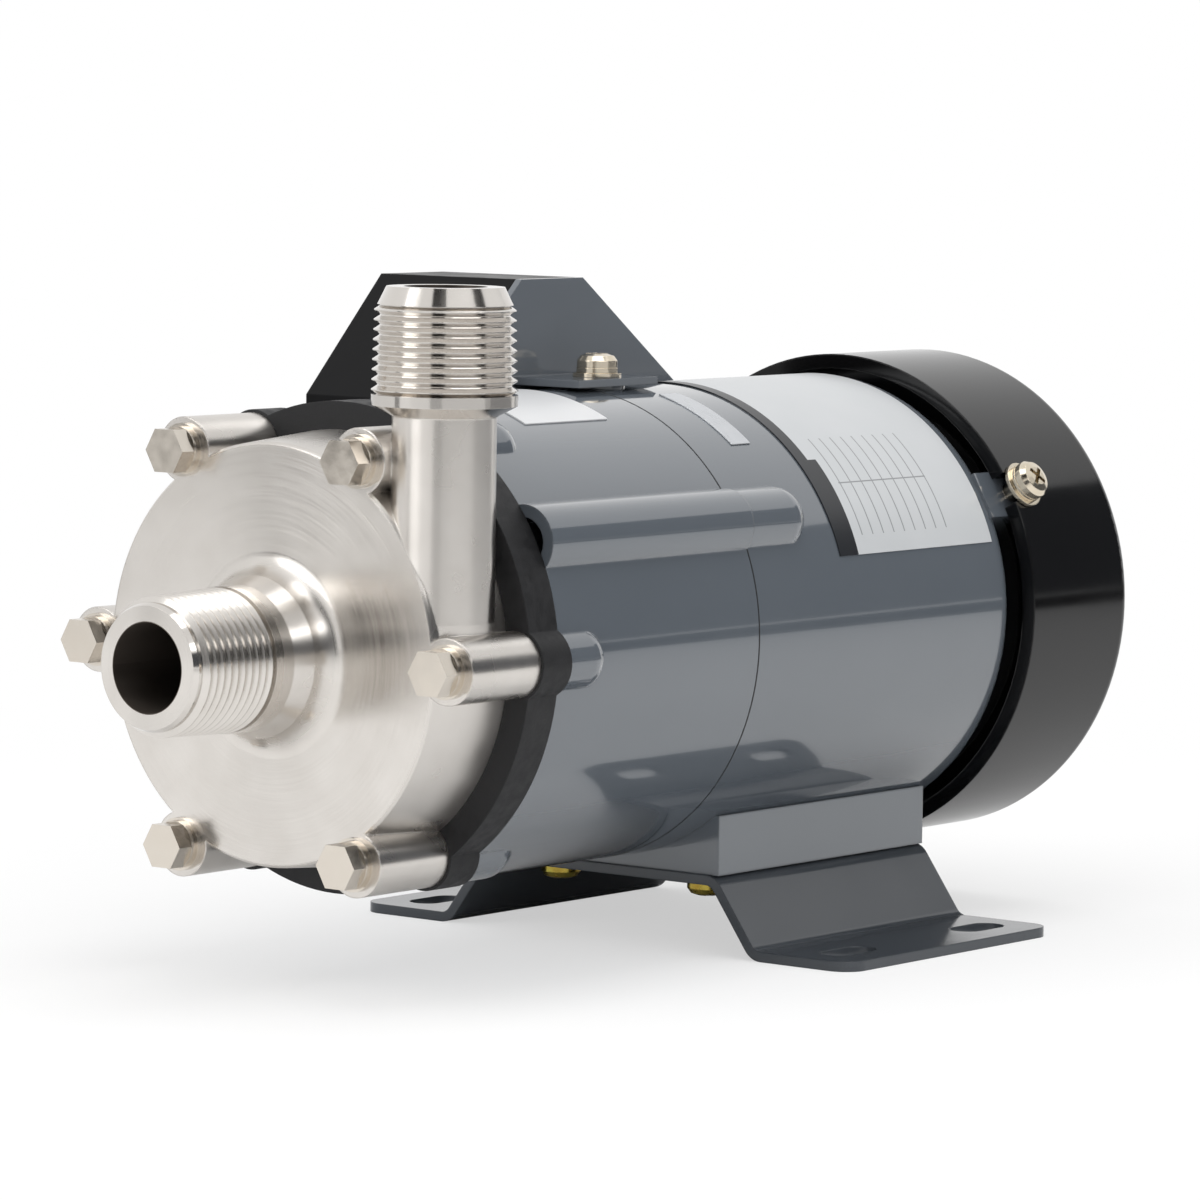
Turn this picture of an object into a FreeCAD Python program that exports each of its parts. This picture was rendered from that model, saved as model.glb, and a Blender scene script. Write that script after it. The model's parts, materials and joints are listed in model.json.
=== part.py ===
import FreeCAD, Part
import math
import os
import Sketcher

# Magnetic drive pump: a stainless pump head on a small capacitor motor.
# X runs along the shaft from the suction end to the fan, the discharge side is -Y and Z is up.
# The origin is the centre of the four base slots, on the underside of the feet.

DRIVING = {
    # Stations along the shaft, chained from the seam between bracket and motor housing
    "seam_setback": 44.9,
    "bracket_length": 61.7,
    "rear_flange_thickness": 8.4,
    "casing_length": 19.4,
    "inlet_length": 33.2,
    "housing_length": 85.9,
    "cover_gap": 2.1,
    "cover_length": 35.3,
    # Shaft height and outer radii
    "axis_height": 64.0,
    "motor_radius": 46.3,
    "housing_wall": 3.6,
    "bracket_wall": 3.4,
    "housing_edge_radius": 3.2,
    "casing_face_radius": 39.5,
    "casing_back_radius": 41.0,
    "casing_bevel": 0.5,
    # Clearances
    "fit_clearance": 0.03,
    "thread_clearance": 0.05,
    "hole_clearance": 0.25,
    "soft_clearance": 0.3,
    # Head bolts, their washers and bosses
    "bolt_circle_radius": 42.7,
    "bolt_radius": 2.5,
    "bolt_head_flats": 8.0,
    "bolt_head_height": 3.5,
    "bolt_length": 40.0,
    "flat_washer_radius": 5.0,
    "flat_washer_thickness": 0.9,
    "spring_washer_radius": 4.5,
    "spring_washer_thickness": 1.2,
    "boss_radius": 6.2,
    "ear_radius": 6.8,
    "bracket_boss_length": 8.0,
    # Pipe threads, common to both ports
    "thread_pitch": 1.814,
    "thread_depth": 1.1,
    "thread_crest_radius": 13.4,
    "thread_taper": 0.03125,
    # Suction port
    "inlet_bore_radius": 8.3,
    "inlet_end_radius": 11.3,
    "inlet_lead": 2.0,
    "inlet_neck_radius": 13.6,
    "inlet_hub_radius": 15.2,
    "inlet_hub_length": 8.4,
    "inlet_hub_fillet": 4.0,
    # Discharge port
    "riser_radius": 9.6,
    "riser_offset": 33.4,
    "riser_bore_radius": 7.5,
    "riser_bore_floor": 16.0,
    "riser_neck_length": 6.4,
    "riser_flange_thickness": 2.0,
    "riser_lead": 3.274,
    "riser_end_radius": 10.8,
    # Pump chamber and seals
    "chamber_radius": 34.0,
    "casing_wall": 4.0,
    "ring_groove_depth": 2.0,
    "ring_groove_radius": 37.0,
    "ring_groove_width": 2.6,
    "thrust_ring_radius": 13.5,
    "thrust_ring_bore": 9.8,
    "thrust_ring_thickness": 2.8,
    "thrust_ring_seat": 2.0,
    # Isolation can
    "can_radius": 23.0,
    "can_wall": 2.5,
    "can_setback": 27.1,
    "spindle_socket_radius": 8.5,
    "spindle_socket_depth": 4.5,
    # Impeller set
    "impeller_radius": 29.0,
    "impeller_gap": 0.4,
    "impeller_eye_radius": 9.5,
    "impeller_neck_length": 1.7,
    "impeller_neck_radius": 12.0,
    "shroud_thickness": 1.5,
    "blade_height": 6.5,
    "blade_thickness": 1.6,
    "back_plate_thickness": 2.5,
    "magnet_running_gap": 0.7,
    "magnet_jacket": 1.25,
    "magnet_inner_radius": 12.0,
    "magnet_cap_thickness": 2.0,
    "bush_lead": 0.2,
    "magnet_setback": 2.0,
    "carrier_gap": 0.3,
    "spindle_radius": 5.0,
    "bush_radius": 8.0,
    "bush_running_clearance": 0.05,
    "rear_ring_thickness": 1.5,
    # Drive magnets and their cup
    "drive_gap": 1.3,
    "drive_magnet_thickness": 5.0,
    "cup_setback": 7.6,
    "cup_wall": 3.7,
    "cup_plate": 4.0,
    "cup_boss_radius": 11.0,
    "cup_boss_length": 5.0,
    "can_end_gap": 3.0,
    "set_screw_radius": 2.0,
    # Bearings, sized as a common 12 x 32 x 10 ball bearing
    "bearing_bore_radius": 6.0,
    "bearing_outer_radius": 16.0,
    "bearing_width": 10.0,
    "ball_radius": 3.0,
    "race_thickness": 3.4,
    "cage_thickness": 1.2,
    "bearing_boss_wall": 4.0,
    "partition_thickness": 3.0,
    "partition_hole_radius": 12.0,
    "bracket_lip_length": 6.0,
    "bracket_lip_gap": 3.7,
    "register_length": 2.5,
    "front_bearing_setback": 10.1,
    "rear_wall": 5.0,
    "rear_lip": 2.2,
    "spring_space": 1.0,
    # Motor inside
    "shaft_radius": 8.0,
    "fan_seat_radius": 5.0,
    "stator_start": 23.7,
    "stator_length": 46.0,
    "stator_bore_radius": 25.0,
    "slot_circle_radius": 31.0,
    "slot_radius": 3.4,
    "winding_inner_radius": 27.0,
    "winding_outer_radius": 35.0,
    "winding_overhang": 9.5,
    "air_gap": 0.4,
    "rotor_bar_radius": 1.6,
    "rotor_bar_circle": 21.5,
    "end_ring_thickness": 2.4,
    # Screw ribs and the two long screws that hold the bracket
    "rib_circle_radius": 43.6,
    "rib_radius": 6.9,
    "rib_step": 0.3,
    "rib_screw_radius": 2.5,
    "rib_screw_length": 30.0,
    "rib_head_radius": 4.25,
    "rib_head_height": 5.0,
    "rib_bridge": 17.1,
    "housing_rib_length": 20.9,
    # Fan and fan cover
    "cover_radius": 50.3,
    "cover_wall": 3.0,
    "cover_end_wall": 2.5,
    "cover_edge_radius": 3.1,
    "notch_radius": 3.3,
    "notch_depth": 4.2,
    "lug_width": 10.0,
    "lug_length": 10.5,
    "fan_radius": 42.0,
    "fan_hub_radius": 9.0,
    "fan_start": 9.5,
    "fan_hub_length": 17.5,
    "fan_blade_width": 14.0,
    "fan_plate_gap": 3.0,
    "fan_plate_thickness": 2.0,
    "fan_clip_radius": 8.0,
    "grille_slot_width": 3.2,
    "grille_inner_radius": 10.0,
    "grille_ring_length": 14.0,
    "grille_bar": 4.0,
    # Small pan head screws
    "pan_radius": 4.0,
    "pan_height": 2.8,
    "small_screw_radius": 2.0,
    "small_washer_radius": 4.8,
    "small_washer_thickness": 0.8,
    "small_spring_radius": 4.1,
    "small_spring_thickness": 1.0,
    # Foot pad and bent base plate
    "pad_half_length": 34.5,
    "pad_half_width": 29.5,
    "pad_height": 11.8,
    "plate_length": 70.0,
    "plate_width": 123.5,
    "plate_thickness": 2.0,
    "foot_gap": 1.9,
    "top_bend": 29.0,
    "foot_bend": 39.0,
    "bend_radius": 2.5,
    "foot_corner_radius": 5.0,
    "slot_spacing_x": 44.0,
    "slot_spacing_y": 104.0,
    "slot_half_width": 3.5,
    "slot_length": 14.0,
    "base_screw_x": 23.5,
    "base_screw_y": 18.5,
    "base_screw_length": 11.0,
    # Terminal box on the far side of the motor
    "box_wall_y": 10.0,
    "box_sheet": 1.5,
    "box_wall": 2.0,
    "box_screw_inset": 7.3,
    "box_top_front": -49.0,
    "box_top_rear": -29.7,
    "box_front": -71.5,
    "box_rear": 0.8,
    "box_front_drop": 23.3,
    "box_rear_drop": 21.7,
    "box_bottom_rise": 20.0,
    "flange_front": -52.0,
    "flange_rear": -27.0,
    "flange_reach": 17.0,
    "flange_seat_step": 0.5,
    "flange_screw_x": -37.5,
    "seat_radius": 5.5,
    "box_screw_front": -45.0,
    "box_screw_rear": -33.0,
    "box_nut_height": 3.0,
    "capacitor_radius": 9.0,
    "capacitor_length": 36.0,
    "capacitor_start": -57.0,
    "capacitor_gap": 1.0,
    "capacitor_top_gap": 3.0,
    "capacitor_side_gap": 0.5,
    "block_start": -50.0,
    "block_length": 26.0,
    "block_width": 9.5,
    "block_height": 7.0,
    "block_top_gap": 1.0,
    "lead_radius": 0.9,
    "lead_pitch": 2.5,
    "lead_y": 15.0,
    "lead_x": -28.5,
    "gland_x": -11.0,
    "gland_rise": 13.0,
    "gland_thread_radius": 6.0,
    "gland_flats": 15.0,
    "gland_hex_height": 5.0,
    "gland_dome_height": 8.0,
    "gland_bore_radius": 3.2,
    "gland_nut_height": 3.0,
    # Blank labels
    "label_thickness": 0.25,
    "rating_label_start": -16.0,
    "rating_label_length": 52.0,
    "serial_label_start": -32.0,
    "serial_label_length": 6.0,
    "notice_label_start": -85.0,
    "notice_label_length": 25.0,
}

# Angles round the shaft, in degrees from the discharge side (-Y) towards the top
BOLT_ANGLES = [60 * step for step in range(6)]
RIB_ANGLES = [30, 210]
COVER_SCREW_ANGLES = [30, 150, 270]
IMPELLER_BLADES = 6
FAN_BLADES = 9
MAGNET_POLES = 8
STATOR_SLOTS = 12
ROTOR_BARS = 16
BEARING_BALLS = 7
THREAD_TURNS = {"inlet": 10, "riser": 9}
RATING_LABEL_ANGLES = (18, 93)
SERIAL_LABEL_ANGLES = (51, 76)
NOTICE_LABEL_ANGLES = (64, 94)
CAPACITOR_ANGLE = 127.8

doc = FreeCAD.newDocument("magnetic_drive_pump")


class Size:
    """A number in millimetres together with the sheet expression that gives it."""

    def __init__(self, value, text):
        self.value = float(value)
        self.text = text

    def __float__(self):
        return self.value

    def combined(self, other, sign, value):
        return Size(value, "(" + self.text + " " + sign + " " + as_size(other).text + ")")

    def __add__(self, other):
        return self.combined(other, "+", self.value + float(other))

    def __radd__(self, other):
        return as_size(other) + self

    def __sub__(self, other):
        return self.combined(other, "-", self.value - float(other))

    def __rsub__(self, other):
        return as_size(other) - self

    def __mul__(self, other):
        return self.combined(other, "*", self.value * float(other))

    def __rmul__(self, other):
        return as_size(other) * self

    def __truediv__(self, other):
        return self.combined(other, "/", self.value / float(other))

    def __neg__(self):
        return as_size(0) - self


def as_size(value):
    if isinstance(value, Size):
        return value
    return Size(value, repr(round(float(value), 9)))


class SizeSheet:
    """The document's spreadsheet: each driving dimension has a named cell."""

    def __init__(self, values):
        self.sheet = doc.addObject("Spreadsheet::Sheet", "Sizes")
        for row, (name, value) in enumerate(values.items(), start=1):
            self.sheet.set("A" + str(row), name)
            self.sheet.set("B" + str(row), str(value))
            self.sheet.setAlias("B" + str(row), name)
            setattr(self, name, Size(value, "Sizes." + name))


mm = SizeSheet(DRIVING)
doc.recompute()


def bind(item, path, size):
    """Set a property and bind it to the sheet."""
    size = as_size(size)
    if hasattr(item, path):
        setattr(item, path, size.value)
    if "Sizes." in size.text:
        item.setExpression(path, size.text)


class Spot:
    """A local frame: an origin that may depend on the sheet, and two fixed axes."""

    def __init__(self, origin, x_axis, y_axis):
        self.origin = [as_size(value) for value in origin]
        self.x_axis = FreeCAD.Vector(*x_axis)
        self.y_axis = FreeCAD.Vector(*y_axis)
        self.z_axis = self.x_axis.cross(self.y_axis)

    def point(self, u, v, w):
        found = []
        for index, start in enumerate(self.origin):
            total = start
            for axis, offset in ((self.x_axis, u), (self.y_axis, v), (self.z_axis, w)):
                share = round(axis[index], 12)
                if share and float(offset):
                    total = total + offset * share
            found.append(total)
        return found

    def at(self, u=0, v=0, w=0):
        return Spot(self.point(u, v, w), self.x_axis, self.y_axis)

    def around(self, radius, degrees):
        """A parallel frame at an angle round the local z axis, from -x towards +y."""
        turn = math.radians(degrees)
        return self.at(radius * -round(math.cos(turn), 12), radius * round(math.sin(turn), 12))

    def spun(self, degrees):
        turn = math.radians(degrees)
        x_axis = self.x_axis * math.cos(turn) + self.y_axis * math.sin(turn)
        y_axis = self.y_axis * math.cos(turn) - self.x_axis * math.sin(turn)
        return Spot(self.origin, x_axis, y_axis)

    def place(self, item, w=0):
        rotation = FreeCAD.Rotation(self.x_axis, self.y_axis, self.z_axis, "ZXY")
        base = self.point(0, 0, w)
        item.Placement = FreeCAD.Placement(FreeCAD.Vector(*[float(value) for value in base]), rotation)
        for letter, value in zip("xyz", base):
            if "Sizes." in value.text:
                item.setExpression("Placement.Base." + letter, value.text)
        return item


# The pump axis: local z runs along +X, local x along +Y and local y along +Z
AXIS = Spot((0, 0, mm.axis_height), (0, 1, 0), (0, 0, 1))


def radial_spot(along, degrees):
    """A frame on the pump axis whose z points outwards at an angle."""
    turn = math.radians(degrees)
    cosine = round(math.cos(turn), 12)
    sine = round(math.sin(turn), 12)
    return Spot((along, 0, mm.axis_height), (1, 0, 0), (0, sine, cosine))


def upward_spot(x, y, z):
    return Spot((x, y, z), (1, 0, 0), (0, 1, 0))


def downward_spot(x, y, z):
    return Spot((x, y, z), (1, 0, 0), (0, -1, 0))


def far_side_spot(x, y, z):
    return Spot((x, y, z), (1, 0, 0), (0, 0, -1))


def cylinder(name, spot, radius, start, end, degrees=None):
    item = doc.addObject("Part::Cylinder", name)
    bind(item, "Radius", radius)
    bind(item, "Height", as_size(end) - start)
    if degrees is not None:
        item.Angle = degrees
    return spot.place(item, start)


def box(name, spot, u_range, v_range, w_range):
    item = doc.addObject("Part::Box", name)
    for prop, (low, high) in zip(("Length", "Width", "Height"), (u_range, v_range, w_range)):
        bind(item, prop, as_size(high) - low)
    return spot.at(u_range[0], v_range[0], w_range[0]).place(item)


def ball(name, spot, radius, along=0):
    item = doc.addObject("Part::Sphere", name)
    bind(item, "Radius", radius)
    return spot.place(item, along)


def hexagon(name, spot, flats, start, end):
    item = doc.addObject("Part::Prism", name)
    item.Polygon = 6
    bind(item, "Circumradius", flats / math.sqrt(3))
    bind(item, "Height", as_size(end) - start)
    return spot.place(item, start)


def join(name, parts):
    item = doc.addObject("Part::MultiFuse", name)
    item.Shapes = parts
    item.Refine = True
    return item


def remove(name, base, tools):
    """Cut the tools one after another, because some of them meet each other."""
    item = base
    for index, tool in enumerate(tools, start=1):
        cut = doc.addObject("Part::Cut", name if index == len(tools) else name + "_cut_" + str(index))
        cut.Base = item
        cut.Tool = tool
        item = cut
    item.Refine = True
    return item


def group(name, parts):
    item = doc.addObject("Part::Compound", name)
    item.Links = parts
    return item


def tube(name, spot, outer, inner, start, end):
    return remove(name, cylinder(name + "_outside", spot, outer, start, end),
                  [cylinder(name + "_bore", spot, inner, start, end)])


def sector(name, spot, outer, inner, start, end, degrees):
    """An arc-shaped piece of tube that starts at the local x axis."""
    return remove(name, cylinder(name + "_outside", spot, outer, start, end, degrees),
                  [cylinder(name + "_bore", spot, inner, start, end)])


def outline(body, plane_role, points):
    """A closed sketch through the points, with every coordinate bound to the sheet."""
    plane = next(item for item in body.Origin.OriginFeatures if item.Role == plane_role)
    sketch = body.newObject("Sketcher::SketchObject", body.Name + "_outline")
    sketch.AttachmentSupport = [(plane, "")]
    sketch.MapMode = "FlatFace"
    corners = [FreeCAD.Vector(float(across), float(up), 0) for across, up in points]
    closed = corners[1:] + corners[:1]
    sketch.addGeometry([Part.LineSegment(*ends) for ends in zip(corners, closed)], False)
    rules = [Sketcher.Constraint("Coincident", index, 2, (index + 1) % len(corners), 1)
             for index in range(len(corners))]
    bound = []
    for index, pair in enumerate(points):
        for kind, size, zero_axis in zip(("DistanceX", "DistanceY"), pair, (-2, -1)):
            if float(size) == 0:
                rules.append(Sketcher.Constraint("PointOnObject", index, 1, zero_axis))
                continue
            bound.append((len(rules), as_size(size)))
            rules.append(Sketcher.Constraint(kind, -1, 1, index, 1, float(size)))
    sketch.addConstraint(rules)
    for number, size in bound:
        if "Sizes." in size.text:
            sketch.setExpression("Constraints[" + str(number) + "]", size.text)
    return sketch


def turned(name, spot, points):
    """A body of revolution: each point is its distance along the axis and its radius."""
    body = doc.addObject("PartDesign::Body", name)
    sketch = outline(body, "XZ_Plane", [(radius, along) for along, radius in points])
    turning = body.newObject("PartDesign::Revolution", name + "_turning")
    turning.Profile = sketch
    turning.ReferenceAxis = (sketch, ["V_Axis"])
    turning.Angle = 360
    return spot.place(body)


def padded(name, spot, points, length):
    """A body with a flat outline, padded along local z."""
    body = doc.addObject("PartDesign::Body", name)
    pad = body.newObject("PartDesign::Pad", name + "_pad")
    pad.Profile = outline(body, "XY_Plane", points)
    bind(pad, "Length", length)
    return spot.place(body)


def soften(body, radius, matches):
    """Fillet the edges of the body's last feature that the test picks, in the body's own frame."""
    doc.recompute()
    last = body.Tip
    picked = ["Edge" + str(index) for index, edge in enumerate(last.Shape.Edges, start=1) if matches(edge)]
    fillet = body.newObject("PartDesign::Fillet", last.Name + "_fillet")
    fillet.Base = (last, picked)
    bind(fillet, "Radius", radius)
    return body


def circle_at(radius, along):
    """Test for a circular edge round local z."""

    def matches(edge):
        if not isinstance(edge.Curve, Part.Circle):
            return False
        centre = edge.Curve.Center
        return abs(edge.Curve.Radius - float(radius)) < 0.01 and abs(centre.z - float(along)) < 0.01

    return matches


def line_at(index, corners):
    """Test for a straight edge along one axis, through one of the corners of the other two."""

    def matches(edge):
        if not isinstance(edge.Curve, Part.Line) or abs(abs(edge.Curve.Direction[index]) - 1) > 0.01:
            return False
        middle = edge.CenterOfMass
        others = [middle[axis] for axis in range(3) if axis != index]
        return any(math.hypot(others[0] - float(first), others[1] - float(second)) < 0.05
                   for first, second in corners)

    return matches


nodes = []


def node(name, item):
    item.Label = name
    nodes.append(item)
    return item


# Stations along the shaft
housing_front = -mm.seam_setback
bracket_front = housing_front - mm.bracket_length
casing_back = bracket_front - mm.rear_flange_thickness
casing_face = casing_back - mm.casing_length
inlet_end = casing_face - mm.inlet_length
housing_rear = housing_front + mm.housing_length
cover_front = housing_rear + mm.cover_gap
cover_rear = cover_front + mm.cover_length
housing_bore = mm.motor_radius - mm.housing_wall
bracket_bore = mm.motor_radius - mm.bracket_wall

# Heights above the floor, and the riser's above the shaft
plate_height = mm.axis_height - mm.motor_radius - mm.foot_gap
riser_flange_height = mm.casing_back_radius + mm.riser_neck_length
riser_flange_top = riser_flange_height + mm.riser_flange_thickness
riser_height = riser_flange_top + mm.thread_pitch * THREAD_TURNS["riser"] + mm.riser_lead

# Stations inside the head
chamber_front = casing_face + mm.casing_wall
ring_front = chamber_front - mm.thrust_ring_seat
ring_rear = ring_front + mm.thrust_ring_thickness
impeller_front = ring_rear + mm.impeller_gap
front_shroud = impeller_front + mm.impeller_neck_length
blade_front = front_shroud + mm.shroud_thickness
back_plate_front = blade_front + mm.blade_height
back_plate_rear = back_plate_front + mm.back_plate_thickness
can_rear = housing_front - mm.can_setback
can_floor = can_rear - mm.can_wall
can_bore = mm.can_radius - mm.can_wall
socket_front = can_floor - mm.spindle_socket_depth
rear_ring_front = socket_front - mm.rear_ring_thickness
carrier_rear = rear_ring_front - mm.carrier_gap
carrier_radius = can_bore - mm.magnet_running_gap
magnet_outer = carrier_radius - mm.magnet_jacket
bush_front = bracket_front - mm.bush_lead
magnet_front = bush_front + mm.magnet_setback
spindle_front = bush_front - mm.bush_radius / 2

# Stations inside the motor
cup_plate_front = can_rear + mm.can_end_gap
cup_plate_rear = cup_plate_front + mm.cup_plate
cup_front = bracket_front + mm.cup_setback
drive_bore = mm.can_radius + mm.drive_gap
drive_outer = drive_bore + mm.drive_magnet_thickness
cup_radius = drive_outer + mm.cup_wall
front_bearing_start = housing_front - mm.front_bearing_setback
front_bearing_end = front_bearing_start + mm.bearing_width
rear_seat_floor = housing_rear - mm.rear_lip
rear_bearing_end = rear_seat_floor - mm.spring_space
rear_bearing_start = rear_bearing_end - mm.bearing_width
bearing_boss_radius = mm.bearing_outer_radius + mm.bearing_boss_wall
bearing_seat_radius = mm.bearing_outer_radius + mm.fit_clearance
stator_front = housing_front + mm.stator_start
stator_rear = stator_front + mm.stator_length
rotor_radius = mm.stator_bore_radius - mm.air_gap

# Stack heights under the screw heads
head_stack = mm.flat_washer_thickness + mm.spring_washer_thickness
small_stack = mm.small_washer_thickness + mm.small_spring_thickness
bolt_hole_radius = mm.bolt_radius + mm.hole_clearance
tapped_bolt_radius = mm.bolt_radius + mm.thread_clearance
small_tapped_radius = mm.small_screw_radius + mm.thread_clearance
small_hole_radius = mm.small_screw_radius + mm.hole_clearance


def thread_points(first, root_radius, turns, growth):
    """Rings of a pipe thread as seen in section; growth is the root radius gained per turn."""
    points = []
    for turn in range(turns):
        start = first + mm.thread_pitch * turn
        root = root_radius + growth * turn
        crest = root + mm.thread_depth
        points += [(start, root), (start + mm.thread_pitch * 0.4, crest),
                   (start + mm.thread_pitch * 0.5, crest), (start + mm.thread_pitch * 0.9, root)]
    return points


def front_casing():
    """Stainless casing: face disc, six bolt bosses, threaded inlet and tangential riser."""
    growth = mm.thread_pitch * mm.thread_taper
    last_root = mm.thread_crest_radius - mm.thread_depth
    inlet_turns = THREAD_TURNS["inlet"]
    hub_front = casing_face - mm.inlet_hub_length
    first_root = last_root - growth * (inlet_turns - 1)
    edge = mm.casing_bevel
    disc = turned("casing_disc", AXIS, [
        (inlet_end, 0),
        (inlet_end, mm.inlet_end_radius),
        (inlet_end + mm.inlet_lead / 2, first_root),
        *thread_points(inlet_end + mm.inlet_lead, first_root, inlet_turns, growth),
        (inlet_end + mm.inlet_lead + mm.thread_pitch * inlet_turns, last_root),
        (inlet_end + mm.inlet_lead + mm.thread_pitch * inlet_turns, mm.inlet_neck_radius),
        (hub_front, mm.inlet_neck_radius),
        (casing_face - mm.inlet_hub_fillet - mm.casing_bevel, mm.inlet_hub_radius),
        (casing_face, mm.inlet_hub_radius),
        (casing_face, mm.casing_face_radius - edge),
        (casing_face + edge, mm.casing_face_radius),
        (casing_back, mm.casing_back_radius),
        (casing_back, 0),
    ])
    soften(disc, mm.inlet_hub_fillet, circle_at(mm.inlet_hub_radius, casing_face))
    bosses = [cylinder("casing_boss_" + str(angle), AXIS.around(mm.bolt_circle_radius, angle),
                       mm.boss_radius, casing_face, casing_back) for angle in BOLT_ANGLES]

    riser = upward_spot(casing_face + mm.casing_length / 2, -mm.riser_offset, mm.axis_height)
    riser_turns = THREAD_TURNS["riser"]
    thread_top = riser_flange_top + mm.thread_pitch * riser_turns
    top_root = last_root - growth * (riser_turns - 1)
    pipe = turned("casing_riser", riser, [
        (0, 0),
        (0, mm.riser_radius),
        (riser_flange_height - mm.riser_flange_thickness, mm.riser_radius),
        (riser_flange_height, mm.thread_crest_radius),
        (riser_flange_top, mm.thread_crest_radius),
        *thread_points(riser_flange_top, last_root, riser_turns, -growth),
        (thread_top, top_root),
        (thread_top, top_root + mm.thread_depth / 2),
        (riser_height, mm.riser_end_radius),
        (riser_height, 0),
    ])
    blank = join("casing_blank", [disc, pipe] + bosses)

    tools = [
        cylinder("casing_chamber", AXIS, mm.chamber_radius, chamber_front, casing_back),
        cylinder("casing_inlet_bore", AXIS, mm.inlet_bore_radius, inlet_end, casing_back),
        cylinder("casing_ring_seat", AXIS, mm.thrust_ring_radius + mm.fit_clearance, ring_front, casing_back),
        cylinder("casing_riser_bore", riser, mm.riser_bore_radius, mm.riser_bore_floor, riser_height),
        ball("casing_riser_bore_end", riser, mm.riser_bore_radius, mm.riser_bore_floor),
        tube("casing_seal_groove", AXIS, mm.ring_groove_radius + mm.ring_groove_width / 2,
             mm.ring_groove_radius - mm.ring_groove_width / 2,
             casing_back - mm.ring_groove_depth, casing_back),
    ]
    holes = [cylinder("casing_bolt_hole_" + str(angle), AXIS.around(mm.bolt_circle_radius, angle),
                      bolt_hole_radius, casing_face, casing_back) for angle in BOLT_ANGLES]
    tools.append(group("casing_bolt_holes", holes))
    return node("front_casing", remove("front_casing", blank, tools))


def casing_seal():
    """The O-ring between the two casings, squeezed into its groove."""
    item = doc.addObject("Part::Torus", "casing_o_ring")
    section = mm.ring_groove_depth / 2 - mm.fit_clearance
    bind(item, "Radius1", mm.ring_groove_radius)
    bind(item, "Radius2", section)
    return node("casing_o_ring", AXIS.place(item, casing_back - mm.ring_groove_depth / 2))


def rear_casing():
    """Moulded rear casing: eared flange and closed isolation can with the spindle socket."""
    socket_bore = mm.spindle_radius + mm.fit_clearance
    can = turned("rear_casing_can", AXIS, [
        (casing_back, can_bore),
        (casing_back, mm.motor_radius),
        (bracket_front, mm.motor_radius),
        (bracket_front, mm.can_radius + mm.can_wall),
        (bracket_front + mm.can_wall, mm.can_radius),
        (can_rear, mm.can_radius),
        (can_rear, 0),
        (can_floor, 0),
        (can_floor, socket_bore),
        (socket_front, socket_bore),
        (socket_front, mm.spindle_socket_radius),
        (can_floor, mm.spindle_socket_radius),
        (can_floor, can_bore),
    ])
    ears = [cylinder("rear_casing_ear_" + str(angle), AXIS.around(mm.bolt_circle_radius, angle),
                     mm.ear_radius, casing_back, bracket_front) for angle in BOLT_ANGLES]
    holes = [cylinder("rear_casing_hole_" + str(angle), AXIS.around(mm.bolt_circle_radius, angle),
                      bolt_hole_radius, casing_back, bracket_front) for angle in BOLT_ANGLES]
    blank = join("rear_casing_blank", [can] + ears)
    return node("rear_casing", remove("rear_casing", blank, [group("rear_casing_holes", holes)]))


def head_bolts():
    """Six hex bolts with spring and flat washers, through the casings into the bracket."""
    bolts = []
    spring_washers = []
    flat_washers = []
    washer_bore = mm.bolt_radius + mm.hole_clearance
    spring_front = casing_face - head_stack
    spring_rear = casing_face - mm.flat_washer_thickness
    for angle in BOLT_ANGLES:
        tag = "_" + str(angle)
        spot = AXIS.around(mm.bolt_circle_radius, angle)
        head = hexagon("head_bolt_head" + tag, spot, mm.bolt_head_flats,
                       spring_front - mm.bolt_head_height, spring_front)
        shank = cylinder("head_bolt_shank" + tag, spot, mm.bolt_radius,
                         spring_front, spring_front + mm.bolt_length)
        bolts.append(join("head_bolt" + tag, [head, shank]))
        ring = tube("head_spring" + tag, spot, mm.spring_washer_radius, washer_bore, spring_front, spring_rear)
        split = mm.hole_clearance * 2
        gap = box("head_spring_split" + tag, spot, (0, mm.flat_washer_radius), (0, split),
                  (spring_front, spring_rear))
        spring_washers.append(remove("head_spring_washer" + tag, ring, [gap]))
        flat_washers.append(tube("head_flat_washer" + tag, spot, mm.flat_washer_radius, washer_bore,
                                 spring_rear, casing_face))
    node("head_bolts", group("head_bolts", bolts))
    node("head_spring_washers", group("head_spring_washers", spring_washers))
    node("head_flat_washers", group("head_flat_washers", flat_washers))


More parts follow.
